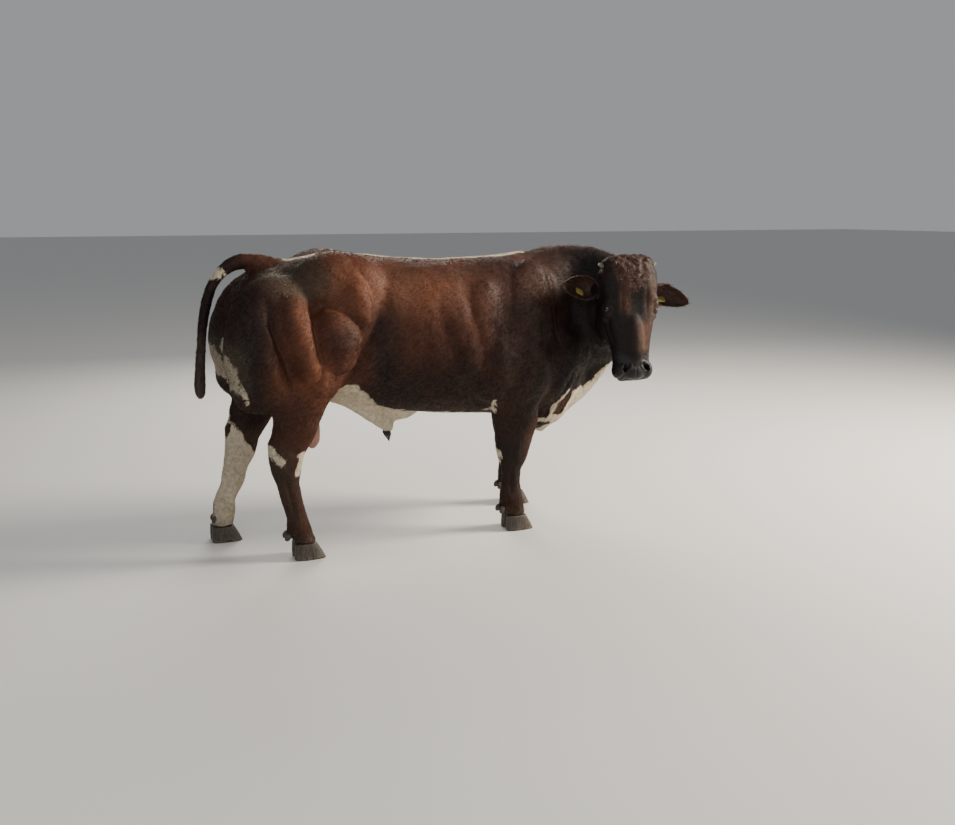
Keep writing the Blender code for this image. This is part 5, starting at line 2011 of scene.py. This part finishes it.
def curled_ribbons(roots: Roots, length: np.ndarray, wide: np.ndarray, lean: np.ndarray,
                   curl: np.ndarray, rows: int) -> Ribbons:
    """Longer ribbons that rise and turn over by a constant curvature.

    Args:
        roots: Where they grow; their lie is the way they bend.
        length: The length of each.
        wide: The width of each.
        lean: The slant at the root, from the normal, in radians.
        curl: How far each turns from root to tip, in radians.
        rows: Rows of corners along each.

    Returns:
        The ribbons.
    """
    step = np.arange(rows - 1)
    angle = lean[:, None] + curl[:, None] * (step + 0.5)[None] / (rows - 1)
    moves = ((roots.normals[:, None, :] * np.cos(angle)[..., None]
              + roots.lie[:, None, :] * np.sin(angle)[..., None])
             * (length / (rows - 1))[:, None, None])
    start = roots.places - roots.normals * 0.001
    lines = np.concatenate([start[:, None, :], start[:, None, :] + np.cumsum(moves, axis=1)],
                           axis=1)
    taper = np.sqrt(1.0 - np.linspace(0.0, 1.0, rows) ** 2)
    half = 0.5 * wide[:, None] * (0.35 + 0.65 * taper)[None]
    return Ribbons(roots, lines, half, unit(np.cross(roots.normals, roots.lie)))


def brush_ribbons(roots: Roots, lines: np.ndarray, out: np.ndarray, wide: tuple[float, float],
                  dice: np.random.Generator) -> Ribbons:
    """Ribbons of a hanging brush, narrower towards the tip, their flat sides out or nearly so.

    Args:
        roots: Where they grow.
        lines: The middle line of each.
        out: For each, the level direction out of the brush.
        wide: The least and the greatest width.
        dice: The random generator.

    Returns:
        The ribbons.
    """
    count, rows = lines.shape[:2]
    taper = np.sqrt(1.0 - np.linspace(0.0, 1.0, rows) ** 2)
    half = 0.5 * dice.uniform(*wide, count)[:, None] * (0.3 + 0.7 * taper)[None]
    across = unit(np.cross(out, -DOWN) + 0.4 * dice.normal(size=(count, 3)))
    return Ribbons(roots, lines, half, across)


@dataclass
class ShortCoat:
    """The short hair over the whole hide, parted at the head and by planes across x and z."""

    count: int = 240000
    seed: int = 3
    leg_top: float = 0.66
    rump_front: float = -0.12
    shoulder_rear: float = 0.62
    foreleg_rear: float = 0.30

    def density(self, places: np.ndarray) -> np.ndarray:
        """How dense the tufts stand: closer and finer on legs and face, none on bare skin.

        Args:
            places: Places of the own frame.

        Returns:
            The weight of each.
        """
        near = HEAD.near(places)
        dense = 1.0 + 1.3 * ease(0.66, 0.52, places[:, 2]) + 2.2 * near
        dense *= 1.0 - np.maximum(MARKINGS.nose(places), MARKINGS.bare(places))
        for side in Side:
            off = np.linalg.norm(HEAD.local(places) - HEAD.eye_centre(side), axis=1)
            dense *= ease(0.036, 0.042, off)
        return dense * ease(0.078, 0.090, places[:, 2])

    def build(self, hide: bpy.types.Object, finish: bpy.types.Material) -> None:
        """Scatters, combs and parts the coat.

        Args:
            hide: The hide it grows on.
            finish: The material of tufts.
        """
        dice = np.random.default_rng(self.seed)
        roots = Roots.scatter(hide.data, int(self.count * SHORT_SHARE), self.density, dice)
        roots = roots.laid(comb(roots.places), dice, 0.16)
        x, _, z = roots.places.T
        near = HEAD.near(roots.places)
        fine = np.maximum(ease(0.66, 0.50, z), near)
        length = (0.0155 - 0.0060 * fine - 0.0030 * near) * dice.uniform(0.7, 1.25, len(x))
        wide = (0.0018 - 0.0007 * fine - 0.0002 * near) * dice.uniform(0.7, 1.2, len(x))
        keel = hump(gap_to(roots.places, MARKINGS.keel), 0.07)
        fetlock = ease(0.20, 0.15, z) * ease(0.09, 0.11, z)
        length *= 1.0 + 0.5 * keel + 0.9 * fetlock
        rise = 0.075 + 0.05 * dice.random(len(x)) + 0.05 * fetlock
        low, head = z <= self.leg_top, near > 0.5
        regions = {
            "coat_rump": (x < self.rump_front) & ~low,
            "coat_barrel": (x >= self.rump_front) & (x < self.shoulder_rear) & ~low,
            "coat_fore": (x >= self.shoulder_rear) & ~head & ~low,
            "coat_forelegs": (x >= self.foreleg_rear) & low,
            "coat_hindlegs": (x < self.foreleg_rear) & low,
            "coat_head": head & ~low,
        }
        for name, keep in regions.items():
            ribbons = flat_ribbons(roots.part(keep), length[keep], wide[keep], rise[keep], dice)
            ribbons.piece(name, finish, dice)


@dataclass
class Poll:
    """The curls between the horns."""

    count: int = 9000
    clumps: int = 96
    seed: int = 8

    def density(self, places: np.ndarray) -> np.ndarray:
        """Thick between the horn buds and down the forehead's upper part.

        Args:
            places: Places of the own frame.

        Returns:
            The weight of each.
        """
        side, out, down = HEAD.local(places).T
        cap = (ease(0.108, 0.085, np.abs(side)) * ease(-0.105, -0.150, down)
               * ease(-0.10, -0.05, out))
        lock = (0.6 * ease(0.055, 0.025, np.abs(side)) * ease(-0.060, -0.105, down)
                * ease(0.0, 0.02, out))
        return np.maximum(cap, lock)

    def build(self, hide: bpy.types.Object, finish: bpy.types.Material) -> None:
        """Grows the curls in clumps that each turn their own way.

        Args:
            hide: The hide they grow on.
            finish: Their material.
        """
        dice = np.random.default_rng(self.seed)
        roots = Roots.scatter(hide.data, int(self.count * LONG_SHARE), self.density, dice)
        heart = roots.places[dice.integers(0, len(roots.places), self.clumps)]
        gaps = np.linalg.norm(roots.places[:, None, :] - heart[None], axis=2)
        member = gaps.argmin(axis=1)
        spin = dice.uniform(0.0, 2.0 * math.pi, self.clumps)[member]
        ways = HEAD.aim(np.stack([np.cos(spin), 0.3 + 0.0 * spin, 0.55 + 0.8 * np.sin(spin)],
                                 axis=1))
        pull = (heart[member] - roots.places) * 22.0
        roots = roots.laid(ways + pull, dice, 0.40)
        count = len(roots.places)
        aside = np.abs(HEAD.local(roots.places)[:, 0])
        length = dice.uniform(0.020, 0.036, count) * (1.0 - 0.45 * ease(0.02, 0.10, aside))
        wide = dice.uniform(0.0009, 0.0016, count)
        lean = dice.uniform(0.10, 0.60, count)
        curl = dice.uniform(2.6, 4.6, self.clumps)[member] + dice.normal(0, 0.3, count)
        ribbons = curled_ribbons(roots, length, wide, lean, curl, 9)
        ribbons.piece("coat_poll_curls", finish, dice, False)


@dataclass
class Crest:
    """The loose hair along the top of the neck."""

    count: int = 5600
    seed: int = 9
    line: tuple = ((0.80, 0.0, 1.40), (0.93, 0.0, 1.46), (1.06, -0.02, 1.45), (1.17, -0.09, 1.41),
                   (1.25, -0.18, 1.38))

    def density(self, places: np.ndarray) -> np.ndarray:
        """Thick near the crest's line."""
        gap = gap_to(places[:, :2], [corner[:2] for corner in self.line])
        return (ease(0.075, 0.015, gap) * ease(1.22, 1.28, places[:, 2])
                * ease(0.80, 0.90, places[:, 0]))

    def build(self, hide: bpy.types.Object, finish: bpy.types.Material) -> None:
        """Grows the hair, standing up and leaning back.

        Args:
            hide: The hide it grows on.
            finish: Its material.
        """
        dice = np.random.default_rng(self.seed)
        roots = Roots.scatter(hide.data, int(self.count * LONG_SHARE), self.density, dice)
        roots = roots.laid(np.tile([-0.8, 0.5, -0.2], (len(roots.places), 1)), dice, 0.55)
        count = len(roots.places)
        length = dice.uniform(0.010, 0.023, count)
        wide = dice.uniform(0.0009, 0.0016, count)
        lean = dice.uniform(0.2, 0.85, count)
        curl = dice.uniform(0.4, 1.8, count)
        ribbons = curled_ribbons(roots, length, wide, lean, curl, 6)
        ribbons.piece("coat_crest", finish, dice, False)


@dataclass
class EarHair:
    """The soft hair in and round the ears."""

    count: int = 2600
    seed: int = 10

    def build(self, ears: Sequence[bpy.types.Object], model: Ears,
              finish: bpy.types.Material) -> None:
        """Grows hair on each ear, longest on the inside near the rim.

        Args:
            ears: The two ears.
            model: Tells where each cup opens.
            finish: The hair's material.
        """
        dice = np.random.default_rng(self.seed)
        for side, ear in zip(Side, ears):
            root, way = HEAD.ear_root(side)
            aim, opening = HEAD.aim(way), model.opening(side)
            roots = Roots.scatter(ear.data, int(self.count * LONG_SHARE),
                                  lambda places: np.ones(len(places)), dice)
            inner = ease(-0.35, 0.45, roots.normals @ opening)
            ways = aim[None] + 0.35 * opening[None] * inner[:, None]
            roots = roots.laid(ways, dice, 0.18)
            along = (HEAD.local(roots.places) - root) @ way
            count = len(along)
            length = ((0.008 + 0.012 * inner * ease(0.0, 0.06, along))
                      * dice.uniform(0.6, 1.3, count))
            lean = 1.35 - 0.35 * inner + dice.normal(0, 0.08, count)
            ribbons = curled_ribbons(roots, length, dice.uniform(0.0010, 0.0017, count), lean,
                                     dice.uniform(-0.1, 0.4, count), 4)
            ribbons.piece(f"coat_ear_{side.word}", finish, dice, False)


@dataclass
class Switch:
    """The long hair at the end of the tail."""

    count: int = 2600
    seed: int = 11
    dock: tuple = TAIL_END
    tip_height: float = 0.752

    @staticmethod
    def reach(level: np.ndarray) -> np.ndarray:
        """How far the hair stands from the middle of the tail at each level over the floor."""
        return np.interp(level, (0.752, 0.775, 0.815, 0.900, 1.030),
                         (0.007, 0.019, 0.0245, 0.0205, 0.0180))

    def build(self, finish: bpy.types.Material) -> None:
        """Grows the hair from round the dock, drawn together towards the tip.

        Args:
            finish: The hair's material.
        """
        dice = np.random.default_rng(self.seed)
        count = int(self.count * LONG_SHARE)
        path = smooth_path(self.dock, 60)
        part = dice.random(count) ** 0.8
        middle = path[(part * (len(path) - 1)).astype(int)]
        turn = dice.uniform(0.0, 2.0 * math.pi, count)
        out = np.stack([np.cos(turn), np.sin(turn), 0.0 * turn], axis=1)
        start = middle + out * self.reach(middle[:, 2])[:, None] * 0.85
        lowest = self.tip_height + 0.040 * dice.random(count) ** 2.0
        drop = np.minimum(dice.uniform(0.070, 0.125, count), start[:, 2] - lowest)
        down = np.linspace(0.0, 1.0, 7)
        wave = 0.0035 * np.sin(9.0 * down[None] + 6.0 * turn[:, None]) * down[None]
        fall = start[:, None, 2] - drop[:, None] * down
        swell = self.reach(fall) * (0.85 + 0.20 * np.sqrt(down) * dice.random(count)[:, None])
        lines = middle[:, None, :] + out[:, None, :] * (swell + wave)[..., None]
        lines[..., 2] = fall
        follow = np.interp(lines[..., 2], path[::-1, 2], path[::-1, 0])
        lines[..., 0] += follow - middle[:, None, 0]
        roots = Roots(start, out, np.tile(DOWN, (count, 1)))
        ribbons = brush_ribbons(roots, lines, out, (0.0016, 0.0028), dice)
        item = ribbons.piece("coat_tail_switch", finish, dice, False)
        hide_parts("tail_end")


@dataclass
class SheathTuft:
    """The tuft of long hair round the opening of the sheath."""

    count: int = 900
    seed: int = 12
    heart: tuple = (0.017, 0.0, 0.526)

    def build(self, finish: bpy.types.Material) -> None:
        """Grows the hair as a drawn-out brush that points down.

        Args:
            finish: The hair's material.
        """
        dice = np.random.default_rng(self.seed)
        count = int(self.count * LONG_SHARE)
        turn = dice.uniform(0.0, 2.0 * math.pi, count)
        out = np.stack([0.8 * np.cos(turn), np.sin(turn), 0.0 * turn], axis=1)
        reach = 0.021 * np.sqrt(dice.random(count))
        start = np.array(self.heart) + out * reach[:, None]
        down = np.linspace(0.0, 1.0, 6)
        length = dice.uniform(0.030, 0.062, count) * (1.15 - reach / 0.040)
        gather = 1.0 + 0.30 * np.sin(math.pi * down) - 0.55 * down ** 2
        lines = np.array(self.heart) + out[:, None, :] * (reach[:, None] * gather)[..., None]
        fall = length[:, None] * down[None]
        lines = lines + np.stack([0.24 * fall, 0.0 * fall, -fall], axis=2)
        roots = Roots(start, unit(out + [0.0, 0.0, 0.2]), np.tile(DOWN, (count, 1)))
        ribbons = brush_ribbons(roots, lines, out, (0.0014, 0.0024), dice)
        ribbons.piece("coat_sheath_tuft", finish, dice, False)


# Stage.


@dataclass
class Studio:
    """Floor, light and camera; the lens is the picture's focal length and width in pixels."""

    eye: tuple = (-1.367, -4.425, 1.6)
    heading: float = math.radians(23.0)
    pitch: float = math.radians(12.03)
    focal: float = 950.0
    picture_width: float = 955.0
    sensor: float = 36.0

    def floor(self) -> None:
        """A pale floor to the horizon."""
        span = 60.0
        corners = np.array([[-span, -span, 0], [span, -span, 0], [span, span, 0], [-span, span, 0]])
        mesh = Sheet(corners, [[0, 1, 2, 3]]).mesh("studio_floor", np.zeros(3))
        item = linked("studio_floor", mesh)
        mesh.materials.append(FloorFinish().material())

    def lamp(self, name: str, place: Sequence[float], aim: Sequence[float], size: float,
             power: float, colour: Sequence[float]) -> None:
        """One square area light.

        Args:
            name: Its name.
            place: Where it hangs, in the own frame.
            aim: What it shines at, in the own frame.
            size: Its side.
            power: Watts.
            colour: Its colour.
        """
        light = bpy.data.lights.new(name, "AREA")
        light.size = size
        light.energy = power
        light.color = colour
        item = linked(name, light)
        start, end = np.array(place) - ORIGIN, np.array(aim) - ORIGIN
        item.location = Vector(start)
        item.rotation_euler = Vector(end - start).to_track_quat("-Z", "Y").to_euler()

    def lights(self) -> None:
        """A warm key from the right of the picture, a soft fill and an even sky."""
        world = bpy.data.worlds.new("studio")
        world.use_nodes = True
        back = world.node_tree.nodes["Background"]
        back.inputs[0].default_value = (0.86, 0.88, 0.91, 1.0)
        back.inputs[1].default_value = 0.38
        bpy.context.scene.world = world
        self.lamp("key", (5.9, -1.7, 3.7), (0.2, 0.0, 0.9), 2.0, 1050.0, (1.0, 0.90, 0.76))
        self.lamp("fill", (-3.0, -5.0, 3.4), (0.0, 0.0, 0.8), 3.5, 100.0, (0.93, 0.96, 1.0))
        self.lamp("rim", (1.0, 4.5, 3.6), (0.2, 0.0, 1.2), 3.0, 230.0, (1.0, 0.93, 0.82))

    def camera(self) -> None:
        """A camera where the photograph was taken from, tilted down and without roll."""
        data = bpy.data.cameras.new("photo_view")
        data.lens = self.focal / self.picture_width * self.sensor
        data.sensor_width = self.sensor
        item = linked("photo_view", data)
        item.location = Vector(np.array(self.eye) - ORIGIN)
        item.rotation_euler = (math.pi / 2 - self.pitch, 0.0, -self.heading)
        bpy.context.scene.camera = item

    def build(self) -> None:
        """Builds all three."""
        self.floor()
        self.lights()
        self.camera()


def main() -> None:
    """Builds every piece in order."""
    logging.basicConfig(level=logging.INFO, format="%(message)s")
    coat = CoatFinish()
    skin, tufts = coat.hide(), coat.tufts()
    hide = Hide().build(skin)
    bpy.context.view_layer.update()
    Eyes().build(hide, skin, EyeFinish().material())
    ears = Ears()
    cups = ears.build(EarFinish().material())
    Hooves().build(HornFinish("hoof_horn", (0.020, 0.016, 0.013), (0.075, 0.056, 0.040)).material())
    buds = HornFinish("bud_horn", (0.11, 0.085, 0.055), (0.33, 0.28, 0.19), 0.004).material()
    Rounded("horn_buds", ("horn_bud_right", "horn_bud_left"), 0.0011, 6, "horn_bud").build(buds)
    tags = ("ear_tag_right", "ear_tag_left")
    Rounded("ear_tags", tags, 0.00085, 4, "tag").build(TagFinish().material())
    ShortCoat().build(hide, tufts)
    dark_hair = FuzzFinish("long_dark_hair", (0.012, 0.008, 0.007),
                           (0.060, 0.036, 0.026)).material()
    red_hair = FuzzFinish("long_red_hair", (0.020, 0.009, 0.0065), (0.130, 0.052, 0.032)).material()
    Poll().build(hide, red_hair)
    Crest().build(hide, red_hair)
    EarHair().build(cups, ears, red_hair)
    Switch().build(dark_hair)
    SheathTuft().build(dark_hair)
    Studio().build()


if __name__ == "__main__":
    main()
